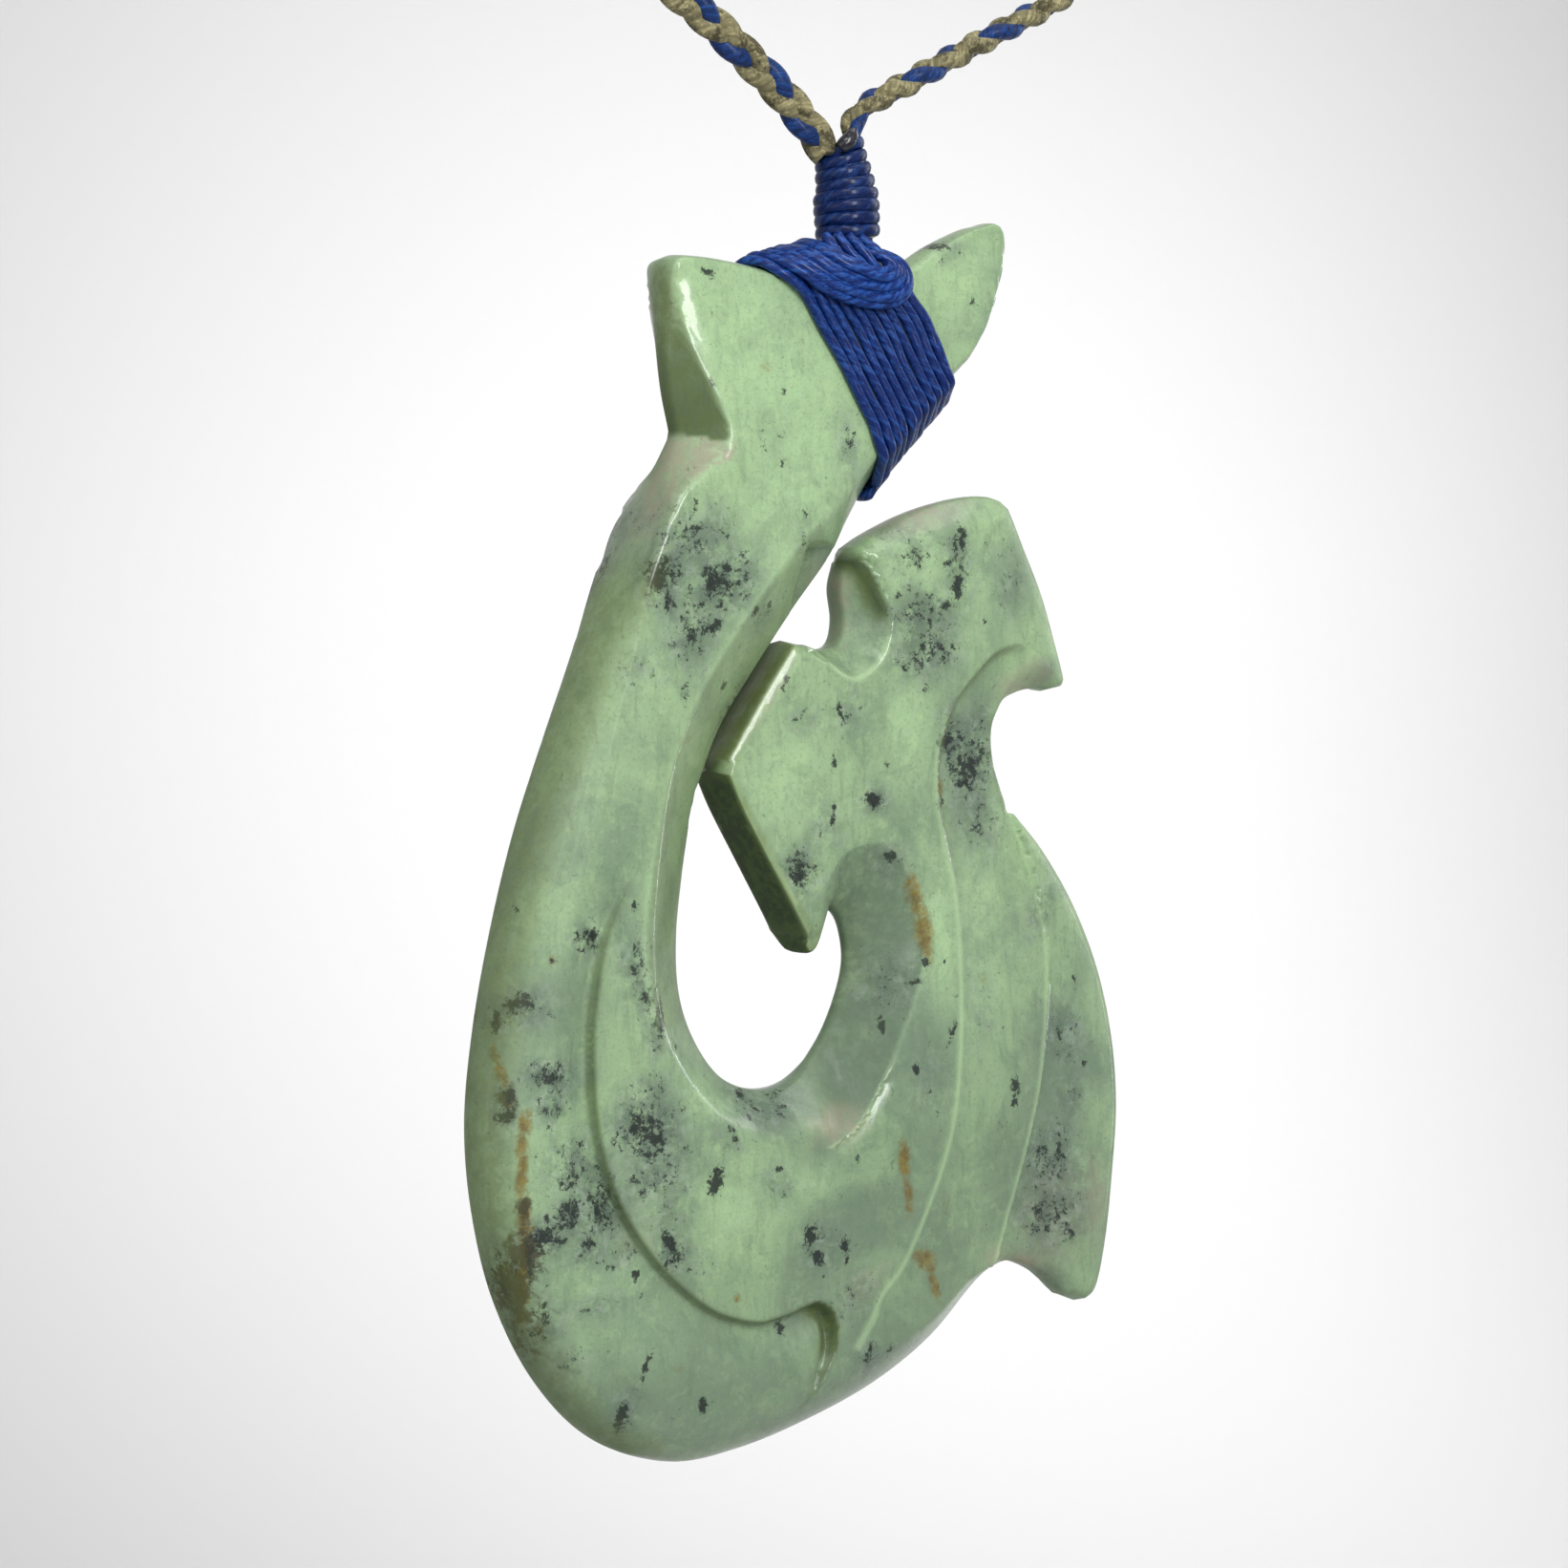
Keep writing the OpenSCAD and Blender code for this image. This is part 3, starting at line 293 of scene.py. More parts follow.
GREY_SPOTS = [
    [0.6, -51, 4, 3.6, 0, 1], [0.2, -57, 3, 4.4, 20, 0.9], [-3, -63.4, 3, 2.6, 30, 0.6],
    [-8.6, -66.6, 3.4, 1.6, 10, 0.8], [-26, -73.6, 3.6, 4, 0, 0.6], [-14.6, -86, 12, 5, 0, 0.35],
    [12.6, -66, 3.6, 12, 5, 0.25], [18, -81.8, 3, 1.3, -20, 1], [17.8, -33.8, 1.4, 1, 30, 0.9],
    [19.4, -66, 3, 13, 0, 0.6], [20.2, -75.6, 4.4, 5.4, 0, 1], [14.4, -26, 2, 5, -15, 0.5],
    [10.4, -40.6, 3.4, 6, 0, 0.8], [-3, -75.6, 6, 5, 0, 0.5], [0, -30, 2.6, 3, 0, 0.5],
    [-31, -79, 3.4, 6, 10, 0.6], [4.6, -66, 4, 8, 0, 0.5], [3, -83, 8, 4, 10, 0.5],
    [-30, -58, 3.4, 2.4, 0, 0.5], [-34, -70, 1.4, 9, 0, 0.5], [-16.6, -27, 4.6, 4.6, 0, 0.6],
    [5.4, -31, 4, 3, 0, 0.5]]


def colour_setting(name, description, red, green, blue):
    """A colour that the sidebar offers."""
    return bpy.props.FloatVectorProperty(name=name, description=description, subtype="COLOR", size=4,
                                         min=0, max=1, default=(red, green, blue, 1))


def length_setting(name, description, low, high, default):
    """A length that the sidebar offers, in metres."""
    return bpy.props.FloatProperty(name=name, description=description, subtype="DISTANCE", unit="LENGTH",
                                   min=low, max=high, default=default)


def number_setting(name, description, low, high, default):
    """A plain number that the sidebar offers."""
    return bpy.props.FloatProperty(name=name, description=description, min=low, max=high, default=default)


class StoneSettings(bpy.types.PropertyGroup):
    """Sizes and colours of the carved stone."""

    light: colour_setting("Light jade", "Colour of the clearest stone", 0.395, 0.575, 0.31)
    deep: colour_setting("Grey jade", "Colour of the clouded stone", 0.22, 0.315, 0.205)
    fleck: colour_setting("Fleck", "Colour of the dark speckles", 0.022, 0.036, 0.03)
    rust: colour_setting("Rust", "Colour of the rusty veins", 0.27, 0.19, 0.025)
    # Olive is the stone's own colour at thin edges, and also paints shade on steep walls, facets and in the
    # carving
    olive: colour_setting("Olive", "Colour of the walls and thin edges", 0.14, 0.18, 0.045)
    rose: colour_setting("Rose", "Colour of the pale pinkish patches", 0.40, 0.37, 0.27)
    polish: number_setting("Roughness", "Roughness of the polished face", 0.05, 0.8, 0.3)
    grid: number_setting("Grid", "Distance between points of the carved faces, in mm", 0.25, 1.0, 0.36)


class ThreadSettings(bpy.types.PropertyGroup):
    """Sizes and colours of the waxed thread."""

    colour: colour_setting("Thread", "Colour of the waxed thread", 0.004, 0.023, 0.150)
    # painted sheen: the wax's shine laid on the thread's streaks
    bright: colour_setting("Waxed shine", "Colour of the thread's raised plies", 0.018, 0.082, 0.33)
    sealed: colour_setting("Sealed end", "Colour of the melted end of the thread", 0.012, 0.012, 0.018)
    diameter: length_setting("Diameter", "Diameter of the thread", 0.0005, 0.0012, 0.00086)
    turns: bpy.props.IntProperty(
        name="Lashing turns", description="Turns of the lashing round the fluke", min=6, max=16, default=12)


class CordSettings(bpy.types.PropertyGroup):
    """Sizes and colours of the plaited neck cord."""

    blue: colour_setting("Blue strand", "Colour of the blue strand", 0.010, 0.036, 0.15)
    tan: colour_setting("Tan strands", "Colour of the two tan strands", 0.25, 0.225, 0.12)
    diameter: length_setting("Diameter", "Width of the plait", 0.0018, 0.003, 0.0024)
    pitch: length_setting("Pitch", "Length in which a strand comes back to its side", 0.006, 0.012, 0.0085)


class StageSettings(bpy.types.PropertyGroup):
    """Colours and light of the studio."""

    floor: colour_setting("Floor", "Colour of the floor and backdrop", 0.86, 0.86, 0.86)
    key: number_setting("Key light", "Power of the main light, in watts", 0, 200, 1.55)
    wall: number_setting("Wall light", "Power of the light on the backdrop, in watts", 0, 200, 4.6)
    world: number_setting("Room light", "Strength of the light from all round", 0, 4, 0.33)


# Curves and surfaces

def smooth_rows(rows, n):
    """Curve through every row of a table, with n points a span: the Catmull-Rom spline of all columns."""
    rows = np.asarray(rows, float)
    p = np.vstack([2 * rows[0] - rows[1], rows, 2 * rows[-1] - rows[-2]])
    u = (np.arange(n) / n)[None, :, None]
    a, b, c, d = (p[i:len(p) - 3 + i, None, :] for i in range(4))
    square, cube = 2 * a - 5 * b + 4 * c - d, 3 * b - a - 3 * c + d
    q = 0.5 * (2 * b + (c - a) * u + square * u ** 2 + cube * u ** 3)
    return np.vstack([q.reshape(-1, rows.shape[1]), rows[-1:]])


def run_length(rows):
    """Length along a polyline up to each of its points."""
    return np.concatenate([[0], np.cumsum(np.linalg.norm(np.diff(rows, axis=0), axis=1))])


def read_at(rows, length, t):
    """Every column of a polyline at the lengths t along it."""
    return np.stack([np.interp(t, length, column) for column in rows.T], axis=1)


def spaced(rows, step, dims=2):
    """Points at even distances along a polyline; columns past the first dims are carried along."""
    length = run_length(rows[:, :dims])
    n = max(int(round(length[-1] / step)), 2)
    return read_at(rows, length, np.linspace(0, length[-1], n + 1))


def unit_rows(v):
    """Each vector over its length."""
    return v / np.maximum(np.linalg.norm(v, axis=-1, keepdims=True), 1e-12)


def left_of(way):
    """Unit vectors a quarter turn anticlockwise from directions in the plan."""
    return unit_rows(np.column_stack([-way[:, 1], way[:, 0]]))


def nearest(points, rows, closed=False, block=1500):
    """For each point: distance to a polyline, the polyline's columns at the nearest place, and whether
    the point lies left (+1) or right (-1) of it."""
    a = rows if closed else rows[:-1]
    b = np.roll(rows, -1, axis=0) if closed else rows[1:]
    e = b[:, :2] - a[:, :2]
    ee = np.maximum((e ** 2).sum(1), 1e-12)
    dist, cols, side = [], [], []
    for start in range(0, len(points), block):
        p = points[start:start + block, None, :2] - a[None, :, :2]
        t = np.clip((p * e).sum(2) / ee, 0, 1)
        gap = p - t[..., None] * e
        d2 = (gap ** 2).sum(2)
        i = d2.argmin(1)
        k = np.arange(len(i))
        ti = t[k, i][:, None]
        dist.append(np.sqrt(d2[k, i]))
        cols.append(a[i] * (1 - ti) + b[i] * ti)
        side.append(np.sign(e[i, 0] * p[k, i, 1] - e[i, 1] * p[k, i, 0]))
    return np.concatenate(dist), np.concatenate(cols), np.concatenate(side)


def step_up(t):
    """Smooth step from 0 to 1 while t goes from 0 to 1."""
    t = np.clip(t, 0, 1)
    return t * t * (3 - 2 * t)


def rise(value, start, over):
    """Smooth step from 0 at start to 1 at start plus over."""
    return step_up((value - start) / over)


def fall(value, start, over):
    """Smooth step from 0 at start to 1 at start less over."""
    return step_up((start - value) / over)


def band(value, middle, half):
    """Smooth hump: 1 where the value is at the middle, 0 from half a width away from it."""
    return step_up(1 - np.abs(value - middle) / half)


def smooth_min(a, b, k):
    """Lesser of a and b, with the corner between them rounded over a height k."""
    h = np.clip(0.5 + 0.5 * (b - a) / k, 0, 1)
    return b * (1 - h) + a * h - k * h * (1 - h)


def lookup(table, at, spread=0.0):
    """Value of a two-column table, averaged over a spread either side so that its corners are soft."""
    table = np.asarray(table, float)
    shifts = np.linspace(-spread, spread, 9) if spread else [0.0]
    return np.mean([np.interp(at + s, table[:, 0], table[:, 1]) for s in shifts], axis=0)


def stone_outline(step):
    """Closed outline with columns x, z, bevel width, front rim height, seam, half of the rim, roundness,
    depth of the front and of the back bevel. Heights are towards the front; the back rim mirrors the front
    one as far as the thickness allows."""
    parts = []
    for rows, half, least in STRETCHES:
        r = spaced(smooth_rows(rows, 12), step)
        front = np.minimum(r[:, 3], 2 * half - least)
        back = np.minimum(r[:, 3], 2 * half - least - front)
        low, high = front - half, half - back
        parts.append(np.column_stack([r[:, :3], -low, (low + high) / 2, (high - low) / 2, r[:, 4], front,
                                      back]))
    return np.vstack(parts)


OUTLINE = stone_outline(0.34)
RIDGE_CURVE = smooth_rows(RIDGE, 10)
STEP_CURVE = smooth_rows(FIN_STEP, 10)
CARVED_CURVE = smooth_rows(CARVED, 10)
HOLLOW_CURVE = smooth_rows(HOLLOW, 8)
NOTCH_CURVE = smooth_rows(NOTCH_RIM, 8)


def within(points, gap):
    """Which plan points lie inside the outline, farther than gap from it."""
    d, _, side = nearest(points, OUTLINE, closed=True)
    return (d > gap) & (side > 0)


def blank_height(p, signed_step):
    """Half thickness of the stone before its edges are bevelled: the tail's and shank's table on one side
    of the divider, the body's and head's on the other, and the fin's beyond its step. Also where the fin
    is, and the body's own table."""
    x, z = p[:, 0], p[:, 1]
    tail, body = lookup(TAIL_HALF, z, SOFTEN), lookup(BODY_HALF, z, SOFTEN)
    blank = np.where(x > lookup(DIVIDER, z), body, tail)
    fin = (signed_step > 0) & (z < -43.5) & (z > -86)
    return np.where(fin, FIN_HALF, blank), fin, body


def bevel_rise(t, k):
    """Share of a bevel's depth at the share t of its width: a straight slope for roundness 0, a quarter
    circle for 1, and on past its end a slope of 1.2, which the blank face cuts off."""
    arc = (1 - k) * t + k * np.sqrt(np.clip(1 - (1 - np.clip(t, 0, 1)) ** 2, 0, 1))
    return np.where(t < 1, arc, 1 + (t - 1) * 1.2)


def carved_heights(p):
    """Height of the front and of the back face over the middle plane at plan points p, and what is near.

    Front: blank height, less the slope right of the ridge (falling evenly with the distance from it), the
    gill's step, the slope that falls to the carved line, and the curl's bowl; then the lesser of that and
    the bevel, which rises from the rim by a straight or round profile of the distance to the outline.
    Hollow and notch: the height goes from the rim to the blank by the share that the distance to the
    outline has of the whole way to the hollow's own edge. Both faces close on the seam by a blunt nose."""
    x, z = p[:, 0], p[:, 1]
    dist, o, _ = nearest(p, OUTLINE, closed=True)
    at_x, at_z, wide, rim_f, seam, rim, k, deep_f, deep_b = o.T
    d_step, _, s_step = nearest(p, STEP_CURVE)
    signed_step = -s_step * d_step
    blank, fin, body = blank_height(p, signed_step)

    front = blank.copy()
    d_ridge, ridge, s_ridge = nearest(p, RIDGE_CURVE)
    beside, slope_wide, slope_deep = ridge[:, 2:].T
    drop = beside * step_up(d_ridge / 0.4) + slope_deep * np.clip(d_ridge / slope_wide, 0, 1.1) ** 0.9
    right = (s_ridge < 0) & (x > 0)
    front -= np.where(right & ~fin, drop, 0)
    # from the body's slope down to the fin
    over_fin = np.maximum(body - slope_deep, FIN_HALF) - FIN_HALF
    front = np.where(fin, FIN_HALF + over_fin * (1 - step_up(signed_step / 0.45)), front)
    back = np.where(fin, FIN_HALF + (body - FIN_HALF) * (1 - step_up(signed_step / 1.6)), blank)

    # a polished strip 1.2 mm wide beside the left fluke's ridge, and one of 0.9 mm along the hollow's lower
    # lip, each cut down at an even slope
    on_fluke = (at_x < LEFT_SIDE) & (at_z > FLUKE_FOOT)
    met = wide * np.where(on_fluke, np.clip((blank - rim_f) / np.maximum(deep_f, 0.1), 0.1, 1), 1.0)
    strip = np.clip(1.2 - (dist - met), 0, 1.2) * on_fluke
    front -= 0.34 * strip * rise(z, -13.5, 6) * fall(z, -3.0, 1.5)
    d_h, _, s_h = nearest(p, HOLLOW_CURVE)
    strip = np.clip(0.9 - d_h, 0, 0.9) * (s_h > 0) * (x > -4)
    front -= 0.43 * strip * fall(z, -64.0, 1.6) * rise(z, -71.6, 1.6)

    d_line, line, s_line = nearest(p, CARVED_CURVE)
    line_deep, line_wide = line[:, 2:].T
    outside = (s_line < 0) & (x < -2)
    ramp = np.clip(1 - d_line / line_wide, 0, 1) ** 1.7
    foot = step_up(d_line / (0.5 + 0.4 * (line_deep > 1.3)))
    front -= np.where(outside, line_deep * ramp * foot, 0)

    t = dist / np.maximum(wide, 0.05)
    # how far the corner between bevel and face is rounded: least on the carving, most down the shank
    soft = 0.12 + 0.5 * np.clip(k, 0, 1)
    soft += 0.22 * fall(x, -12, 2) * band(z, -20, 6)
    soft += 1.5 * fall(x, -19.0, 3) * fall(z, -24.0, 10)
    f = smooth_min(rim_f + deep_f * bevel_rise(t, k), front, soft)
    soft_back = soft + np.where(wide < 0.5, 0.0, 0.3)
    b = smooth_min(seam + rim + deep_b * bevel_rise(t, 0.35 * k), back, soft_back)

    # hollow beside the hole, and the notch under the head's corner
    at_hole = (s_h < 0) & (x > -5.2) & (z < -46.4) & (z > -71)
    share = dist / np.maximum(dist + d_h, 1e-6)
    smooth = 0.75 * rise(z, -66, 8)
    sharp = 0.55 * share + 0.45 * share ** 2.2
    cup = rim_f + (front - rim_f) * (sharp + (1 - (1 - share) ** 1.7 - sharp) * smooth)
    fade = 1 - (1 - rise(x, -5.2, 3.4)) * fall(z, -58, 3)
    f = np.where(at_hole, f + (np.minimum(cup, front) - f) * fade, f)
    d_n, _, s_n = nearest(p, NOTCH_CURVE)
    at_notch = (s_n < 0) & (x > -6) & (x < 3) & (z < -24) & (z > -34)
    share = dist / np.maximum(dist + d_n, 1e-6)
    steep = rise(z, -31.5, 2.5)
    bowl = (0.6 - 0.15 * steep) * share + (0.4 + 0.15 * steep) * share ** (2 + 0.3 * steep)
    f = np.where(at_notch, np.minimum(rim_f + (front - rim_f) * bowl, front), f)

    nose = (1 - (1 - np.clip(dist / NOSE, 0, 1)) ** 3) ** (1 / 3)
    near = {"dist": dist, "hollow": at_hole, "notch": at_notch, "to_notch": d_n,
            "to_lip": d_h, "line": d_line * np.where(outside, 1, -1), "depth": line_deep,
            "ridge": d_ridge * np.where(right, 1, -1), "drop": beside,
            "step": np.where(np.abs(signed_step) < 9, signed_step, 9), "bevel": dist - met,
            "at_x": at_x, "at_z": at_z, "wide": wide}
    return seam - (f + seam) * nose, seam + (b - seam) * nose, near


def keep_apart(layers, reach, cell=0.06):
    """Joins layers of plan points, dropping each point of a later layer that is nearer than reach to an
    earlier one: earlier points mark the cells of a fine plan round them, and marked cells drop points."""
    # the cells' lowest corner and their whole size, a little past the outline
    low, size = np.array([-37.0, -96.0]), np.array([66.0, 101.0])
    taken = np.zeros((size / cell).astype(int), bool)
    kept = []
    for points, room in zip(layers, reach):
        index = ((points[:, :2] - low) / cell).astype(int)
        free = ~taken[index[:, 0], index[:, 1]]
        points, index = points[free], index[free]
        kept.append(points)
        n = int(room / cell)
        i, j = np.mgrid[-n:n + 1, -n:n + 1].reshape(2, -1)
        offsets = np.column_stack([i, j])[i * i + j * j <= n * n]
        near = (index[:, None, :] + offsets[None]).reshape(-1, 2)
        taken[near[:, 0], near[:, 1]] = True
    return kept


def stone_plan(grid):
    """Triangles over the stone's plan: points along the outline, rows beside it, points along each ridge
    and carved line, and an even triangular grid between, joined by a constrained Delaunay triangulation."""
    rim, wide = OUTLINE[:, :2], OUTLINE[:, 2]
    inward = left_of(np.roll(rim, -1, axis=0) - np.roll(rim, 1, axis=0))
    rows = []
    for off in (0.03, 0.09, 0.18, 0.3):
        row = rim + inward * off
        rows.append(row[within(row, off * 0.93)])
    bevel = rim + inward * wide[:, None]
    bevel = bevel[within(bevel, wide * 0.97) & (wide > 0.5)]
    beside = []
    for line in (RIDGE_CURVE, STEP_CURVE, CARVED_CURVE, HOLLOW_CURVE, NOTCH_CURVE):
        line = spaced(line[:, :2], 0.3)
        out = left_of(np.gradient(line, axis=0))
        for off in (0.0, -0.13, 0.13, -0.32, 0.32):
            row = line + out * off
            beside.append(row[within(row, 0.35)])
    low, high = rim.min(0), rim.max(0)
    nx, nz = ((high - low) / (grid, grid * ROW_SHARE)).astype(int) + 2
    i, j = np.meshgrid(np.arange(nx), np.arange(nz), indexing="ij")
    even = np.column_stack([(low[0] + (i + 0.5 * (j % 2)) * grid).ravel(),
                            (low[1] + j * grid * ROW_SHARE).ravel()])
    even = even[within(even, 0.42)]
    # each layer with the room that it keeps from the later ones
    layers = keep_apart([*rows, np.vstack(beside), bevel, even], [0, 0, 0, 0.2, 0.16, 0.24, 0])
    points = np.vstack([rim, *layers])
    n = len(rim)
    edges = [(k, (k + 1) % n) for k in range(n)]
    flat = [Vector(q) for q in points.tolist()]
    verts, _, faces, *_ = delaunay_2d_cdt(flat, edges, [list(range(n))], 1, 1e-6)
    return np.array([v[:] for v in verts]), np.array([f for f in faces if len(f) == 3], np.int64)


def spots(p, table, soft=1.0):
    """Strength of the nearest mark at each plan point: full inside its ellipse, fading outside over soft."""
    out = np.zeros(len(p))
    for x, z, long, wide, turn, strength in table:
        a = np.radians(turn)
        right, up = p[:, 0] - x, p[:, 1] - z
        u = right * np.cos(a) + up * np.sin(a)
        v = -right * np.sin(a) + up * np.cos(a)
        r = np.sqrt((u / long) ** 2 + (v / wide) ** 2)
        out = np.maximum(out, strength * step_up((1 + soft - r) / (2 * soft)))
    return out


def mesh_piece(name, shape, material, marks=None):
    """Puts a shape, of points in millimetres, faces of one size and a UV map or None, into a smooth mesh
    with its marks."""
    points, faces, uv = shape
    mesh = bpy.data.meshes.new(name)
    points = np.asarray(points, float).copy()
    points[:, 2] -= DROP
    size = faces.shape[1]
    mesh.vertices.add(len(points))
    mesh.vertices.foreach_set("co", (points * MM).ravel())
    mesh.loops.add(faces.size)
    mesh.loops.foreach_set("vertex_index", faces.ravel())
    mesh.polygons.add(len(faces))
    mesh.polygons.foreach_set("loop_start", np.arange(0, faces.size, size))
    mesh.polygons.foreach_set("loop_total", np.full(len(faces), size))
    mesh.polygons.foreach_set("use_smooth", np.ones(len(faces), bool))
    if uv is not None:
        layer = mesh.uv_layers.new(name="along")
        layer.data.foreach_set("uv", uv.ravel())
    mesh.update(calc_edges=True)
    for key, values in (marks or {}).items():
        mark = mesh.attributes.new(name=key, type="FLOAT", domain="POINT")
        mark.data.foreach_set("value", np.asarray(values, np.float32))
    mesh.validate()
    for m in material if isinstance(material, (list, tuple)) else [material]:
        mesh.materials.append(m)
    obj = bpy.data.objects.new(name, mesh)
    bpy.context.scene.collection.objects.link(obj)
    return obj


def swept(path, profile, lean, closed=False):
    """A closed profile carried along a path: each ring stands across the path's direction, its second axis
    leaning as near to lean as that allows. Gives the points, the quads and a UV of length and share of turn.
    Open ends are closed by rings that shrink to a point."""
    path = np.asarray(path, float)
    way = np.roll(path, -1, 0) - np.roll(path, 1, 0) if closed else np.gradient(path, axis=0)
    way = unit_rows(way)
    lean = np.broadcast_to(np.asarray(lean, float), path.shape)
    up = unit_rows(lean - (lean * way).sum(1)[:, None] * way)
    side = np.cross(up, way)
    profile = np.broadcast_to(profile, (len(path),) + np.asarray(profile).shape[-2:])
    rings = path[:, None, :] + side[:, None, :] * profile[..., :1] + up[:, None, :] * profile[..., 1:2]
    run = run_length(path)
    if not closed:
        first, last = path[:1, None, :], path[-1:, None, :]
        rings = np.concatenate([first + (rings[:1] - first) * 0.001, rings,
                                last + (rings[-1:] - last) * 0.001])
        run = np.concatenate([run[:1], run, run[-1:]])
    n, m = rings.shape[:2]
    last = n if closed else n - 1
    i, j = np.meshgrid(np.arange(last), np.arange(m), indexing="ij")
    i, j = i.ravel(), j.ravel()
    i2, j2 = (i + 1) % n, (j + 1) % m
    quads = np.column_stack([i * m + j, i * m + j2, i2 * m + j2, i2 * m + j])
    end = run[-1] + np.linalg.norm(path[0] - path[-1]) if closed else 0
    r2 = np.where(i + 1 < n, run[i2], end)
    v0, v1 = j / m, (j + 1) / m
    uv = np.stack([np.column_stack([run[i], v0]), np.column_stack([run[i], v1]),
                   np.column_stack([r2, v1]), np.column_stack([r2, v0])], axis=1)
    return rings.reshape(-1, 3), quads, uv


def joined(parts):
    """Several sets of points, quads and UVs as one."""
    points, quads, uvs = zip(*parts)
    starts = np.cumsum([0] + [len(p) for p in points[:-1]])
    return np.vstack(points), np.vstack([q + start for q, start in zip(quads, starts)]), np.vstack(uvs)


def ellipse(sides, across, up):
    """Points round an ellipse of two half widths, anticlockwise from its right end."""
    a = np.arange(sides) / sides * 2 * np.pi
    return np.column_stack([across * np.cos(a), up * np.sin(a)])


def turn_of_thread(path, radius, lean, k, closed=False):
    """Round thread along a path, its map moved on by k steps so that no two turns have the same fibres."""
    points, quads, uv = swept(path, ellipse(10, radius, radius), lean, closed)
    return points, quads, uv + np.array([MAP_STEP * k, 0.0])


# Materials

class Nodes:
    """Adds nodes to a node tree. Each method but add and fill gives the new node's output."""

    def __init__(self, tree):
        self.tree = tree

    def fill(self, node, inputs):
        """Sets each input to its value, or links it where the value is another node's output."""
        for key, value in inputs.items():
            if isinstance(value, bpy.types.NodeSocket):
                self.tree.links.new(value, node.inputs[key])
            else:
                node.inputs[key].default_value = value

    def add(self, kind, inputs=None, **settings):
        """A shader node of one kind, with its settings and inputs."""
        node = self.tree.nodes.new("ShaderNode" + kind)
        for key, value in settings.items():
            setattr(node, key, value)
        self.fill(node, inputs or {})
        return node

    def maths(self, operation, *terms):
        """One operation on one or two terms."""
        return self.add("Math", dict(enumerate(terms)), operation=operation).outputs[0]

    def plus(self, a, b):
        return self.maths("ADD", a, b)

    def less(self, a, b):
        return self.maths("SUBTRACT", a, b)

    def times(self, a, b):
        return self.maths("MULTIPLY", a, b)

    def ramped(self, value, low, high):
        """Smooth step from 0 to 1 as the value goes from low to high."""
        return self.add("MapRange", {"Value": value, "From Min": low, "From Max": high},
                        interpolation_type="SMOOTHSTEP").outputs["Result"]

    def rescaled(self, value, low, high, to_low, to_high):
        """The value's range from low to high stretched evenly over another range."""
        return self.add("MapRange", {"Value": value, "From Min": low, "From Max": high,
                                     "To Min": to_low, "To Max": to_high}).outputs["Result"]

    def mixed(self, factor, a, b):
        """Colour a, and b as far as the factor goes. The colour inputs are the node's seventh and eighth."""
        return self.add("Mix", {0: factor, 6: a, 7: b}, data_type="RGBA").outputs[2]

    def place(self):
        """Place on the object, in metres."""
        return self.add("TexCoord").outputs["Object"]

    def noise(self, place, scale, detail, rough=0.5, distort=0.0):
        """Cloudy noise from 0 to 1."""
        return self.add("TexNoise", {"Vector": place, "Scale": scale, "Detail": detail, "Roughness": rough,
                                     "Distortion": distort}).outputs["Fac"]

    def bump(self, height, strength, distance):
        """Normal of a surface raised by a height."""
        return self.add("Bump", {"Height": height, "Strength": strength,
                                 "Distance": distance}).outputs["Normal"]


def new_material(name):
    """An empty material with one surface shader, and the maker of its nodes."""
    material = bpy.data.materials.new(name)
    material.use_nodes = True
    material.node_tree.nodes.clear()
    n = Nodes(material.node_tree)
    shader = n.add("BsdfPrincipled")
    n.add("OutputMaterial", {"Surface": shader.outputs["BSDF"]})
    return material, n, shader


def shade(colour, by, tint=(1, 1, 1)):
    """A colour made darker or lighter, and tinted."""
    return tuple(min(1, c * by * t) for c, t in zip(colour[:3], tint)) + (1,)


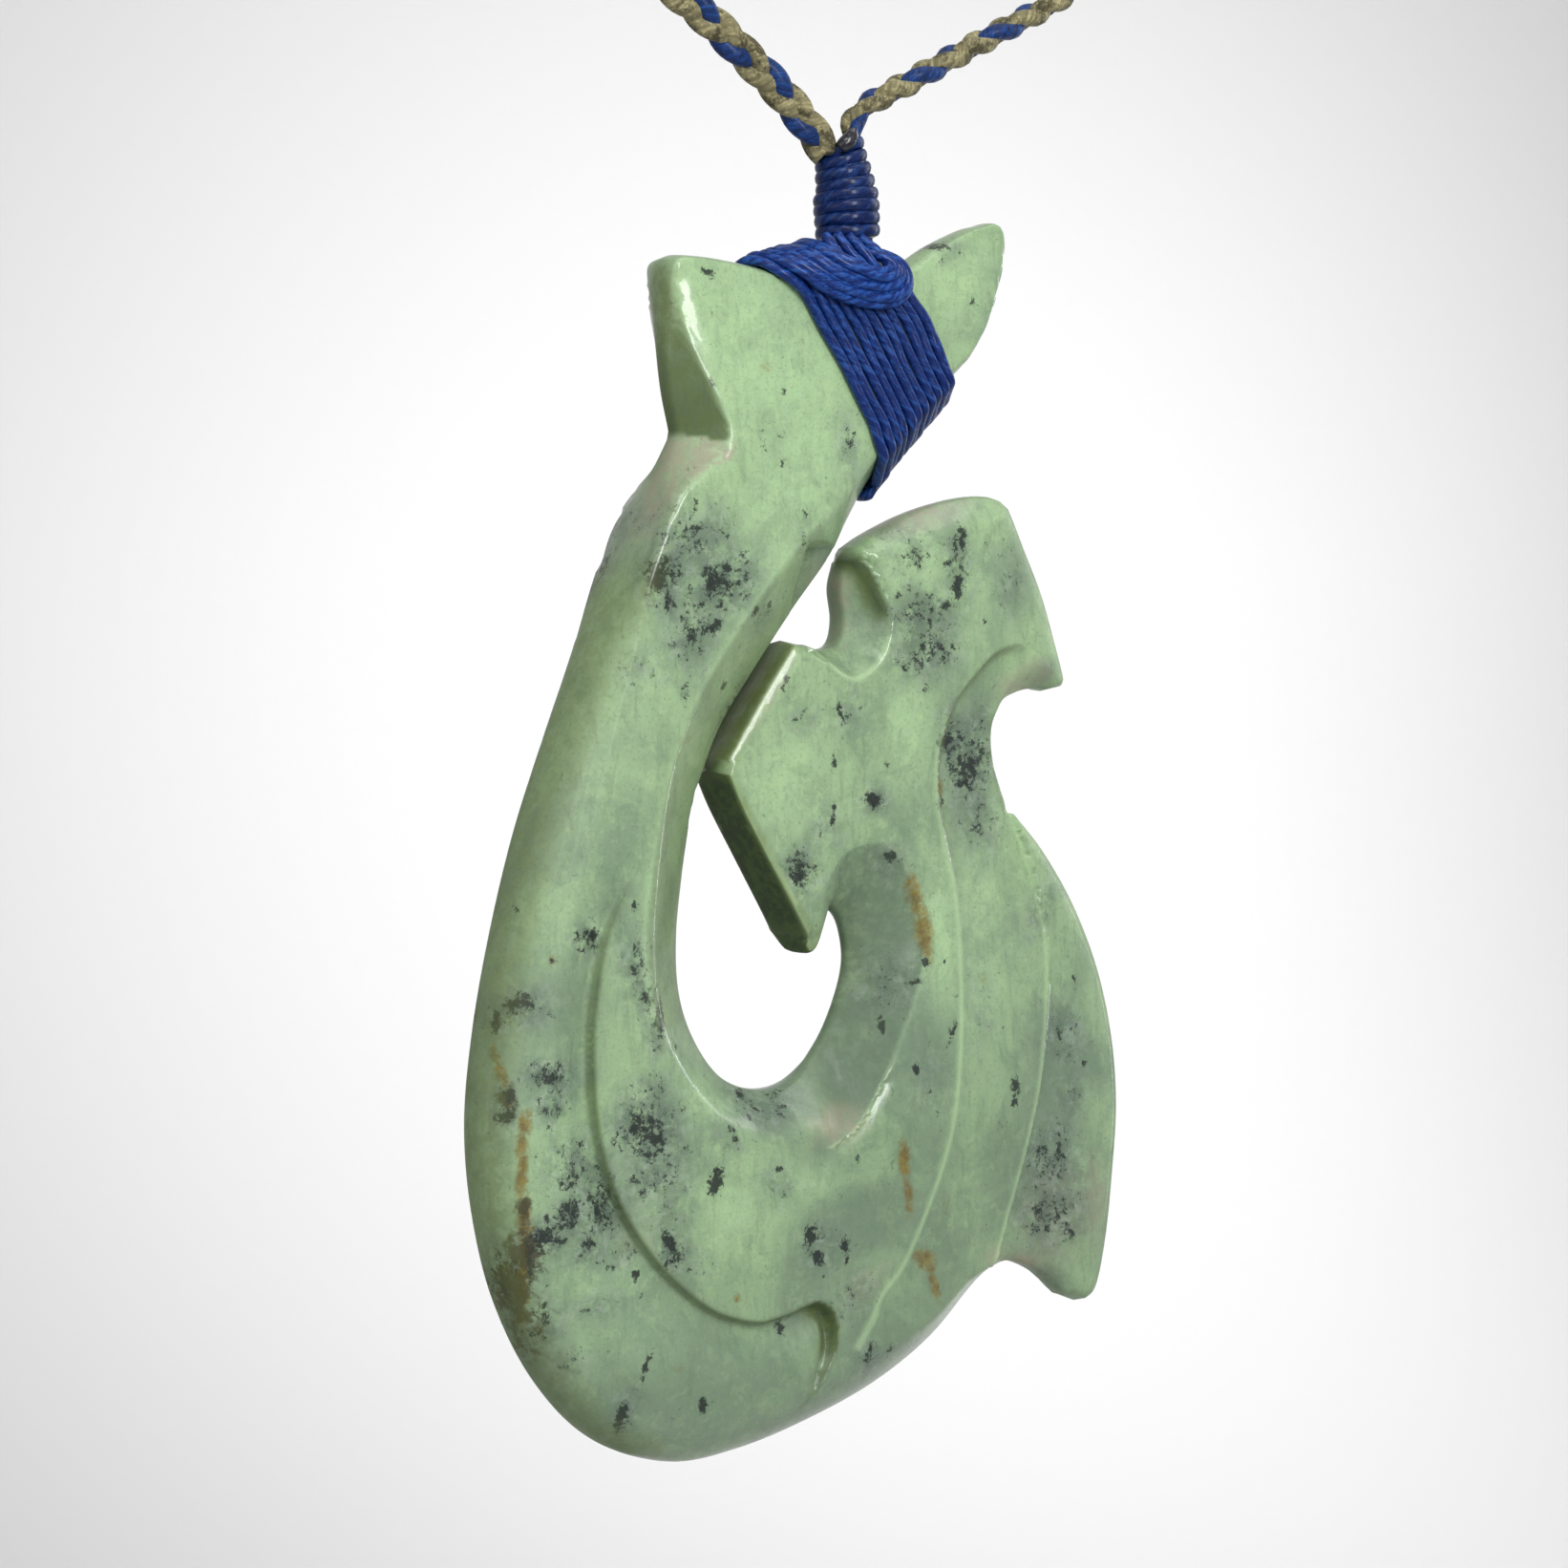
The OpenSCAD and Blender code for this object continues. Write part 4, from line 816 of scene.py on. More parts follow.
def stone_material(s):
    """Polished jade: light and grey clouds, fine grain, dark speckles and flecks with a haze round them,
    rusty veins, rose patches and olive where the stone is thin, with painted shade on steep walls and in
    the carving, and a painted highlight along ridges and lips."""
    material, n, shader = new_material("polished jade")
    plus, less, times, ramped = n.plus, n.less, n.times, n.ramped
    mm = n.add("Mapping", {"Vector": n.place(), "Scale": (1000, 1000, 1000)}).outputs["Vector"]

    def noise(scale, detail, rough, distort, offset=(0, 0, 0), stretch=(1, 1, 1)):
        """Noise of the stone, its scale in waves a millimetre."""
        moved = n.add("Mapping", {"Vector": mm, "Location": offset, "Scale": stretch}).outputs["Vector"]
        return n.noise(moved, scale, detail, rough, distort)

    def ragged(mark, by, amount, low, high, full):
        """A mark whose edge a noise breaks up, and which ends where the mark does."""
        broken = plus(mark, times(less(by, 0.5), amount))
        return times(ramped(broken, low, high), ramped(mark, 0.02, full))

    speckle, fleck, rust, brown, rose, pale, grey, olive, painted_highlight, dull, wall = (
        n.add("Attribute", attribute_name=mark, attribute_type="GEOMETRY").outputs["Fac"] for mark in
        ("speckle", "fleck", "rust", "brown", "rose", "pale", "grey", "olive", "painted_highlight", "dull", "wall"))
    cloud = noise(0.085, 5, 0.6, 0.7)
    middle = noise(0.30, 7, 0.68, 0.8, (3, 43, 21))
    fine = noise(0.9, 8, 0.72, 0.3, (31, 7, 3))
    grain = noise(3.2, 5, 0.7, 0.0, (5, 17, 9))
    fibre = noise(0.7, 5, 0.65, 0.4, (7, 5, 29), (2.2, 1, 0.45))
    # the stone is paler at the tail and darker and greyer towards the base
    height = n.add("SeparateXYZ", {"Vector": mm}).outputs["Z"]
    low = ramped(plus(times(height, -1.0), times(less(middle, 0.5), 60.0)), 118.0, 200.0)
    clouds = plus(cloud, plus(times(grey, 0.13), times(low, 0.06)))
    # haze and dark dust of the clusters, and dots scattered all over
    mist = ramped(noise(0.55, 7, 0.72, 0.3, (9, 9, 1)), 0.40, 0.55)
    haze = ramped(noise(1.1, 7, 0.74, 0.3, (19, 4, 8)), 0.44, 0.64)
    dust, blotch = noise(1.7, 9, 0.80, 0.3, (11, 2, 37)), noise(0.6, 6, 0.72, 0.3, (21, 12, 7))
    bar = less(0.622, times(speckle, 0.135))
    dark = ramped(less(plus(times(dust, 0.7), times(blotch, 0.3)), bar), -0.016, 0.030)
    dots = ramped(noise(1.15, 7, 0.76, 0.5, (41, 22, 17)), 0.63, 0.68)
    vein = ragged(rust, noise(1.5, 6, 0.72, 0.6, (2, 8, 5)), 2.0, 0.15, 1.05, 0.5)
    rusty = n.mixed(ramped(fine, 0.42, 0.6), s.rust[:], shade(s.rust, 0.55, (1.1, 0.85, 0.6)))
    stain = ragged(brown, fine, 4.0, 0.2, 0.8, 0.35)
    spot = ragged(fleck, noise(2.1, 7, 0.75, 0.4, (1, 3, 5)), 3.6, 0.30, 0.66, 0.25)
    # painted shade for steep walls, in dark olive
    painted_wall_shade = n.mixed(ramped(fine, 0.44, 0.56), shade(s.olive, 0.34, (0.72, 1, 1.25)),
                        shade(s.olive, 0.66, (0.78, 1, 1.1)))
    cloudy = times(ramped(middle, 0.49, 0.66), plus(0.3, times(low, 0.2)))
    # paler patches; over the tail partly painted light
    clear = times(pale, plus(0.45, times(ramped(middle, 0.60, 0.42), 0.32)))
    light_grain = times(ramped(fine, 0.50, 0.62), plus(0.20, times(pale, 0.08)))
    grey_grain = times(grey, times(plus(0.3, ramped(fine, 0.40, 0.62)), 0.55))

    # one over the other, each by its own strength
    base = n.mixed(times(ramped(clouds, 0.42, 0.72), 0.9), s.light[:], s.deep[:])
    for strength, colour in (
            (cloudy, shade(s.deep, 0.95, (0.9, 1.05, 0.95))),
            (times(low, 0.27), shade(s.deep, 0.85, (1.0, 1.0, 1.05))),
            (clear, shade(s.light, 1.28, (0.98, 1, 1))),
            (light_grain, shade(s.light, 1.35, (1.04, 1, 0.94))),
            (times(ramped(fibre, 0.51, 0.66), less(0.30, times(pale, 0.14))), shade(s.deep, 0.75)),
            (times(ramped(grain, 0.50, 0.66), 0.30), shade(s.deep, 0.7)),
            (grey_grain, shade(s.deep, 0.58, (0.95, 0.98, 1.12))),
            (times(rose, times(ramped(fine, 0.34, 0.54), 0.85)), s.rose[:]),
            (times(times(times(speckle, less(1.15, speckle)), haze), 1.2), (0.43, 0.51, 0.44, 1)),
            (times(times(speckle, mist), 0.72), (0.085, 0.125, 0.105, 1)),
            (times(dark, 0.93), shade(s.fleck, 0.6)),
            (times(dots, 0.62), shade(s.fleck, 2.0)),
            (times(vein, 0.88), rusty),
            (times(stain, 0.84), shade(s.rust, 0.15, (1.0, 0.95, 2.6))),
            (times(spot, 0.94), shade(s.fleck, 0.7)),
            # olive: partly the stone's own olive at thin edges, partly painted shade on facets, walls and in
            # the carving
            (times(olive, plus(0.66, times(ramped(fine, 0.42, 0.58), 0.3))), s.olive[:]),
            # painted highlight along ridges, lips and the hammer's bevel
            (times(painted_highlight, 0.5), shade(s.light, 1.5, (1.02, 1, 1))),
            # painted shade on steep walls and in the carving
            (times(wall, 0.95), painted_wall_shade)):
        base = n.mixed(strength, base, colour)

    tooth = plus(times(fine, 0.6), times(grain, 0.4))
    rough = n.rescaled(tooth, 0.35, 0.7, s.polish - 0.08, s.polish + 0.14)
    relief = plus(noise(0.7, 4, 0.6, 0, (8, 8, 8)), times(grain, 0.12))
    n.fill(shader, {
        "Base Color": base, "Roughness": plus(rough, plus(times(wall, 0.45), times(dull, 0.35))),
        "Coat Weight": times(less(1.0, wall), times(less(1.0, dull), 0.6)), "Coat Roughness": 0.08,
        "Normal": n.bump(relief, 0.10, 0.0003), "IOR": 1.52, "Subsurface Weight": 0.10,
        "Subsurface Radius": (0.6, 1.0, 0.5), "Subsurface Scale": 0.0012})
    return material


def ply_group():
    """Twisted plies of a thread or strand, from its own map of length and share of turn: puts out the mask
    of the raised plies, the fibres' streaks and the height for a bump."""
    group = bpy.data.node_groups.new("twisted plies", "ShaderNodeTree")
    for name, default in (("Twist", 1.0), ("Plies", 2.0), ("Fibres", 12.0)):
        socket = group.interface.new_socket(name=name, in_out="INPUT", socket_type="NodeSocketFloat")
        socket.default_value = default
    for name in ("Ply", "Streak", "Height"):
        group.interface.new_socket(name=name, in_out="OUTPUT", socket_type="NodeSocketFloat")
    n = Nodes(group)
    entry = group.nodes.new("NodeGroupInput").outputs
    along = n.add("SeparateXYZ", {"Vector": n.add("UVMap", uv_map="along").outputs["UV"]}).outputs
    turn = n.plus(n.times(along["X"], entry["Twist"]), along["Y"])
    angle = n.times(n.times(turn, entry["Plies"]), 2 * np.pi)
    ply = n.plus(n.times(n.maths("COSINE", angle), 0.5), 0.5)
    grain = n.noise(n.place(), 2600.0, 4.0, 0.65)
    fibre = n.add("CombineXYZ", {"X": n.times(along["X"], 0.6), "Y": n.times(turn, entry["Fibres"])})
    streak = n.noise(fibre.outputs["Vector"], 1.0, 3.0, 0.6)
    n.fill(group.nodes.new("NodeGroupOutput"), {
        "Ply": ply, "Streak": n.plus(n.times(streak, 0.65), n.times(grain, 0.35)),
        "Height": n.plus(n.times(ply, 0.7), n.times(streak, 0.3))})
    return group


def strand_material(name, colour, bright, *, twist, plies, fibres, rough, coat, sheen, depth, mottle=0.0):
    """Waxed or dry twisted thread, mottled where the yarn is unevenly dyed."""
    material, n, shader = new_material(name)
    ply = n.tree.nodes.new("ShaderNodeGroup")
    ply.node_tree = bpy.data.node_groups.get("twisted plies") or ply_group()
    n.fill(ply, {"Twist": twist, "Plies": plies, "Fibres": fibres})
    streak = ply.outputs["Streak"]
    # painted shade in the grooves between the plies, and a painted sheen where the streaks turn to the
    # bright colour
    base = n.mixed(n.ramped(ply.outputs["Ply"], 0.0, 0.4), shade(colour, 0.8), colour)
    base = n.mixed(n.ramped(streak, 0.46, 0.62), base, bright)
    if mottle:
        patch, hairs = n.noise(n.place(), 620.0, 5.0, 0.7), n.noise(n.place(), 2600.0, 3.0, 0.7)
        base = n.mixed(n.times(n.ramped(patch, 0.47, 0.58), mottle), base, shade(colour, 0.12))
        base = n.mixed(n.times(n.ramped(hairs, 0.56, 0.70), mottle), base, shade(colour, 2.2))
    n.fill(shader, {
        "Base Color": base, "Roughness": n.rescaled(streak, 0.3, 0.7, rough - 0.08, rough + 0.12),
        "Normal": n.bump(ply.outputs["Height"], 0.8, depth), "Coat Weight": coat, "Coat Roughness": 0.14,
        "IOR": 1.28, "Sheen Weight": sheen, "Sheen Roughness": 0.4})
    return material


def thread_material(s, name="waxed thread", tone=1.0):
    """The thread's material, or a darker or lighter copy: painted shade for the whipping and painted light
    for the crossing turns.
    """
    return bpy.data.materials.get(name) or strand_material(
        name, shade(s.colour, tone), shade(s.bright, tone), twist=0.26, plies=2.0, fibres=6.0, rough=0.38,
        coat=0.28, sheen=0.0, depth=0.00007)


def put(obj, node):
    """Stands obj for a CAD node, and lets it move with the pendant."""
    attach(obj, "root")
    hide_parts(node)
    return obj


# Operators, one a piece

class PENDANT_OT_stone(bpy.types.Operator):
    """Carved jade: tail, shank and base, body and fin, and the hammer head, in one closed skin"""

    bl_idname = "pendant.stone"
    bl_label = "Carved stone"

    def execute(self, context):
        s = context.scene.pendant_stone
        plan, faces = stone_plan(s.grid)
        y_front, y_back, near = carved_heights(plan)
        # the outline's points belong to both faces, and the rest are doubled
        edges = np.sort(np.vstack([faces[:, [0, 1]], faces[:, [1, 2]], faces[:, [2, 0]]]), axis=1)
        pairs, uses = np.unique(edges, axis=0, return_counts=True)
        rim = np.zeros(len(plan), bool)
        rim[pairs[uses == 1].ravel()] = True
        seam = np.where(rim, (y_front + y_back) / 2, 0)
        back_of = np.arange(len(plan))
        inner = np.flatnonzero(~rim)
        back_of[inner] = len(plan) + np.arange(len(inner))
        front_points = np.column_stack([plan[:, 0], np.where(rim, seam, y_front), plan[:, 1]])
        back_points = np.column_stack([plan[inner, 0], y_back[inner], plan[inner, 1]])
        points = np.vstack([front_points, back_points])
        # a face that is anticlockwise in plan, x to the right and z up, looks out of the front (-y)
        both = np.vstack([faces, back_of[faces[:, ::-1]]])
        marks = self.marks(plan, near, y_front)
        # the plain back takes the stone's own marks, some fainter, and none of the carving's
        zero = np.zeros(len(plan))
        plain = {**near, "hollow": zero > 1, "notch": zero > 1, "depth": zero, "drop": zero, "behind": 1}
        plain.update({key: zero + 9 for key in ("to_notch", "to_lip", "line", "ridge", "step")})
        share = {"rust": 0.5, "brown": 0.3, "rose": 0.4, "grey": 0.6, "fleck": 0.8}
        behind = self.marks(plan, plain, y_front)
        marks = {k: np.concatenate([v, behind[k][inner] * share.get(k, 1.0)]) for k, v in marks.items()}
        put(mesh_piece("carved_jade", (points, both, None), stone_material(s), marks), "shark_hook")
        return {"FINISHED"}

    @staticmethod
    def marks(plan, near, y_front):
        """Strengths of the stone's marks, of its painted shade and of its painted highlights at each plan
        point.
        On the shank's round left side they are laid as seen from the front left, so that they don't draw out
        where it falls away."""
        x, z = plan[:, 0], plan[:, 1]
        dist, bevel, line, depth, to_lip, to_notch, at_x, at_z = (
            near[key] for key in ("dist", "bevel", "line", "depth", "to_lip", "to_notch", "at_x", "at_z"))
        seen = plan.copy()
        seen[:, 0] -= 0.7 * (y_front + 4.0) * fall(x, -18, 2) * fall(z, -22, 2)
        steep, edge = fall(dist, 0.26, 0.14), fall(dist, 1.1, 0.9)
        hammer = spots(plan, HAMMER_SPOTS, 0.4)
        facet = fall(bevel, 0, 0.4)
        left = at_x < LEFT_SIDE
        fluke = facet * left * (at_z > FLUKE_FOOT) * (at_z < -2.6)
        shank = facet * left * (at_z < FLUKE_FOOT) * rise(z, -25, 4)
        inner = (near["wide"] > 4.3) * (x < -4) * (z > -60)
        # the hammer's upper wall is paler and pinker in its front half
        front_wall = hammer * steep * (z > -41) * (1 - near.get("behind", 0))
        hollow = near["hollow"] * rise(x, -5.4, 3.0) * rise(z, -71, 4) * rise(to_lip, 0, 0.4)
        notch = near["notch"] * rise(to_notch, 0, 0.5)
        # painted shade on the notch's wall near its rim, in its upper part
        lip = fall(to_notch, 2.0, 1.4) * notch * rise(z, -30.5, 2)
        low_left = fall(dist, 2.6, 2.4) * (x < -19) * fall(z, -22, 6)
        # painted shade in the carved line, and in the bowl at its curl
        groove_shade = band(line, 0.16, 0.42) * np.clip(depth, 0, 1)
        scoop_shade = rise(depth, 1.3, 0.8) * fall(line, 2.6, 2.0) * (line > 0)
        # painted shadow on the right of the gill's step
        gill = band(near["ridge"], 0.35, 0.6) * np.clip(near["drop"] / 0.5, 0, 1)
        shoulder = np.maximum(spots(plan, SHOULDER_SPOTS, 0.5), 0.9 * fall(x, -19.5, 2) * fall(z, -24, 4))
        # olive: the stone's own olive at thin edges, by the hammer's walls and down the low left side;
        # painted shade on the left fluke's facet, the inner facet, the notch's wall, the carved line and its
        # bowl, and by the gill
        olive = np.maximum.reduce([
            hammer * edge, fluke * 0.8, 0.28 * inner * facet, 0.8 * lip, 0.55 * low_left, 0.9 * scoop_shade,
            0.35 * groove_shade, 0.55 * gill, 0.1 * edge])
        # painted shade: darkens the hammer's and the notch's steep walls, the left fluke's facet, the carved
        # line and its bowl, the gill's step and the hollow
        wall = np.maximum.reduce([
            hammer * steep - 0.62 * front_wall, 0.2 * hollow, 0.8 * fall(to_notch, 1.7, 1.2) * lip,
            fluke * (0.08 + 0.56 * fall(z, -5, 9)), 0.55 * groove_shade, 0.7 * scoop_shade * fall(line, 2.1, 1.6),
            0.25 * gill])
        on_lip = (near["hollow"] | (z < -58)) * (z > -70) * (x > -5) * (0.05 + 0.6 * fall(z, -62.5, 4))
        # painted highlight: pale streaks along the ridge, the fin's step, the hollow's lower lip, the
        # hammer's bevel, the inner bevel, the left fluke's ridge and the notch's rim
        painted_highlight = np.maximum.reduce([
            band(near["ridge"], -0.1, 0.4) * fall(z, -36, 4) * 0.8,
            band(near["step"], -0.15, 0.35) * 0.7,
            band(to_lip, 0, 0.35) * on_lip,
            hammer * band(dist, 0.42, 0.3) * 0.9,
            band(bevel, 0, 0.5) * inner * 0.45,
            band(bevel, 0.4, 1.0) * left * rise(z, -12, 5) * 0.5,
            band(to_notch, 0, 0.4) * (z < -31) * (z > -35) * (x > -3) * (x < 4) * 0.8])
        dull = (hollow * 0.85 + notch * 0.7 + shoulder
                + 0.95 * fall(to_lip, 0.8, 0.5) * (z > -64) * (z < -47)
                + 0.7 * (at_x > 14.2) * (z < -19) * fall(dist, 3, 1.5))
        return {
            "speckle": spots(seen, SPECKLE_SPOTS, 0.85),
            "fleck": spots(seen, FLECK_SPOTS, 0.9),
            "rust": spots(seen, RUST_SPOTS, 0.8),
            "brown": spots(seen, BROWN_SPOTS, 0.8),
            "rose": np.maximum.reduce([spots(plan, ROSE_SPOTS, 0.6), 0.9 * shank, 0.7 * front_wall]),
            "pale": spots(plan, PALE_SPOTS, 0.9),
            "grey": np.maximum.reduce([spots(seen, GREY_SPOTS, 0.7), hollow, notch * 0.7]),
            "olive": np.clip(olive, 0, 1),
            "painted_highlight": np.clip(painted_highlight, 0, 1),
            "dull": np.clip(dull, 0, 1),
            "wall": np.clip(wall, 0, 1),
        }


# Lines of the lashing's first and last turn over the front, from the top edge down
LASH_FIRST = [
    [-9.2, -1.6], [-7.9, -3.8], [-6.9, -5.5], [-5.9, -7.3], [-4.7, -9.3], [-3.5, -11.5], [-2.4, -13.4],
    [-1.5, -15], [-0.9, -17], [0.3, -19], [1.4, -20.8], [2.4, -22.4]]
LASH_LAST = [
    [1.8, -0.6], [3.8, -3.6], [4.7, -5], [5.6, -6.2], [6.4, -7.7], [7, -9.3], [7.6, -10.6], [8.2, -11.6],
    [8.7, -12.4], [9.2, -13.2], [9.6, -14.2], [10, -15.2]]


def hull_loop(u, y_front, y_back, radius):
    """Loop of a tight thread round a section: for each direction the section's farthest point, moved out by
    the thread's radius. Gives even points (u, y), starting at the bottom and going up the back."""
    way = ellipse(720, 1, 1)
    section = np.vstack([np.column_stack([u, y_front]), np.column_stack([u, y_back])])
    ring = section[(section @ way.T).argmax(0)] + way * radius
    ring = np.vstack([ring, ring[:1]])
    length = run_length(ring)
    return read_at(ring, length, np.linspace(0, length[-1], TURN_POINTS + 1))


def turn_round_stone(line, radius):
    """Closed loop of thread round the stone over a plan line, which the stone's own edges end."""
    dense = spaced(smooth_rows(line, 12), 0.12)
    y_front, y_back, _ = carved_heights(dense)
    inside = within(dense, 0)
    run = run_length(dense)
    u, y = hull_loop(run[inside], y_front[inside], y_back[inside], radius).T
    # past the line's ends it goes straight on
    before, after = np.minimum(u - run[0], 0)[:, None], np.maximum(u - run[-1], 0)[:, None]
    first, last = unit_rows(dense[1] - dense[0]), unit_rows(dense[-1] - dense[-2])
    x, z = (read_at(dense, run, u) + before * first + after * last).T
    return np.column_stack([x, y, z])


def lash_loops(turns, radius):
    """One closed loop for each turn of the lashing, between its first and last line."""
    first, last = np.array(LASH_FIRST), np.array(LASH_LAST)
    shares = (np.arange(turns) + 0.5) / turns
    return [turn_round_stone(first * (1 - q) + last * q, radius) for q in shares]


class PENDANT_OT_lashing(bpy.types.Operator):
    """Turns of waxed thread round the root of the right fluke"""

    bl_idname = "pendant.lashing"
    bl_label = "Lashing"

    def execute(self, context):
        s = context.scene.pendant_thread
        r = s.diameter / MM / 2
        loops = np.array(lash_loops(s.turns, r * 0.92))
        # the thread steps over to the next turn behind the stone, so that the turns are one thread
        share = np.linspace(0, 1, loops.shape[1])
        shift = rise(share, 0.02, 0.4)[:, None]
        path = [loops[k] * (1 - shift) + loops[min(k + 1, s.turns - 1)] * shift for k in range(s.turns)]
        parts = []
        for k, ring in enumerate(path):
            ring = ring[:-1].copy()
            around = share[:-1] * 2 * np.pi
            ring[:, 0] += 0.07 * np.sin(3 * around + 2.4 * k) + 0.05 * np.sin(7 * around + 1.1 * k * k)
            # the lower turns stand off a little where they go round the edge
            off = np.clip(1 - (ring[:, 1] / 4.4) ** 2, 0, 1) ** 2 * fall(ring[:, 2], -8, 5)
            ring[:, 2] -= 0.34 * off
            ring[:, 0] += 0.24 * off
            size = r * (1 + 0.05 * np.sin(1.7 * k))
            parts.append(turn_of_thread(ring, size, (0.9, 0.0, 0.45), k, closed=True))
        put(mesh_piece("lashing_turns", joined(parts), thread_material(s)), "tail_lashing")
        return {"FINISHED"}


# Outermost and innermost strand of the crossing turns, over the top edge, down the front and round the right
# end back to the top: columns x, y, z
CROSS_OUTER = [
    [-6.2, 1.7, -5.4], [-7.6, 2.5, -3.4], [-8.5, 0.8, -2.1], [-8.4, -1, -2.1], [-7.7, -2.5, -2.6],
    [-6.3, -3.3, -3.4], [-4.8, -3.6, -4.3], [-3, -3.8, -5], [-1.2, -3.9, -5.4], [0.6, -3.9, -5.5],
    [2, -3.8, -5.2], [3, -3.7, -4.5], [3.3, -3.6, -3.6], [3, -3.5, -2.7], [2.3, -3.4, -2.1],
    [1.4, -3.1, -1.7], [0.4, -2.6, -1.4], [-0.6, -1.8, -1.2]]
CROSS_INNER = [
    [-2.4, 1.7, -3.6], [-3.4, 2.2, -1.7], [-3.9, 0.8, -0.9], [-4, -1, -0.9], [-3.9, -2.4, -1.2],
    [-3.4, -3.2, -1.7], [-2.6, -3.7, -2.2], [-1.8, -4, -2.5], [-1, -4.1, -2.8], [-0.2, -4.1, -3],
    [0.5, -4.1, -3], [1.1, -4, -2.8], [1.3, -3.9, -2.5], [1.2, -3.7, -2.2], [0.9, -3.5, -2],
    [0.4, -3.2, -1.7], [-0.2, -2.6, -1.5], [-1, -1.8, -1.2]]
# Strands that come down from the whipping's foot and go under the bundle, and one turn over the top edge
CROSS_EXTRA = [
    [[-2.6, -2.2, -0.2], [-2.2, -2.9, -1.2], [-1.4, -3.4, -2.2], [-0.4, -3.6, -3.2], [0.6, -3.5, -4.4]],
    [[-1.6, -2.3, -0.2], [-1.2, -3.0, -1.0], [-0.6, -3.4, -1.9], [0.2, -3.6, -2.8], [1.4, -3.5, -3.8]],
    [[-3.6, -2.0, -0.3], [-3.4, -2.7, -1.2], [-2.8, -3.3, -2.2], [-1.8, -3.6, -3.2], [-0.6, -3.5, -4.4]],
    [[-0.4, -2.2, -0.4], [0.2, -2.9, -1.0], [0.8, -3.3, -1.7], [1.4, -3.5, -2.6], [2.2, -3.3, -3.6]],
    [[-7.8, 1.6, -5.6], [-9.1, 2.2, -3.6], [-9.5, 0.4, -2.5], [-9.0, -1.2, -2.5], [-8.0, -2.3, -3.2],
     [-6.6, -2.7, -4.2], [-5.4, -2.8, -5.2]]]


class PENDANT_OT_crossing(bpy.types.Operator):
    """Bundle of turns laid over the lashing, under the whipping"""

    bl_idname = "pendant.crossing"
    bl_label = "Crossing turns"

    def execute(self, context):
        s = context.scene.pendant_thread
        r = s.diameter / MM / 2
        outer, inner = np.array(CROSS_OUTER), np.array(CROSS_INNER)
        lines = [outer * (1 - q) + inner * q for q in np.linspace(0, 1, 7)]
        for k, line in enumerate(lines):
            line[:, 1] += 0.13 * (-1) ** k
        parts = []
        for k, line in enumerate(lines + [np.array(extra) for extra in CROSS_EXTRA]):
            line = spaced(smooth_rows(line, 10), 0.25, dims=3)
            t = np.linspace(0, 1, len(line))
            line[:, 2] += 0.05 * np.sin(9 * t + 2.1 * k) + 0.03 * np.sin(23 * t + 1.3 * k)
            line[:, 1] -= 0.06 * np.sin(7 * t + 1.9 * k) * np.sin(np.pi * t)
            size = r * (0.93 + 0.05 * np.sin(2.3 * k))
            parts.append(turn_of_thread(line, size, (0.15, -0.25, 0.95), k))
        # the strands' hidden layers, as a mound that fills the bundle
        t = np.linspace(0, 1, 24)
        mound = np.column_stack([-7.6 + 9.8 * t, -0.3 - 1.0 * t, -1.9 - 0.9 * t])
        full = np.sqrt(np.clip(1 - (2 * t - 1) ** 2, 0, 1)) ** 0.7
        parts.append(swept(mound, full[:, None, None] * ellipse(24, 2.5, 1.25) + 1e-4, (0.1, 0.0, 1.0)))
        # a lighter copy of the thread: painted light on the crossing turns
        material = thread_material(s, "lit waxed thread", 1.25)
        put(mesh_piece("crossing_strands", joined(parts), material), "crossing_turns")
        return {"FINISHED"}


# Plan direction across the camera's view, and the whipping's silhouette along it: columns z, left edge and
# right edge
VIEW = (0.819, -0.574)
WHIP_SIDES = [
    [-0.6, -2.4, 2.38], [0.7, -2.66, 2.44], [1.6, -2.68, 2.56], [2.4, -2.66, 2.5], [3.2, -2.62, 2.34],
    [4, -2.56, 2.12], [4.9, -2.54, 1.84], [5.8, -2.44, 1.55], [6.6, -2.3, 1.3], [7.2, -2.1, 1.1]]


def whip_section(z, margin):
    """Middle of the whipping across the view at heights z, and its half width less a margin."""
    heights, left, right = np.array(WHIP_SIDES).T
    left, right = np.interp(z, heights, left), np.interp(z, heights, right)
    return (left + right) / 2, (right - left) / 2 - margin


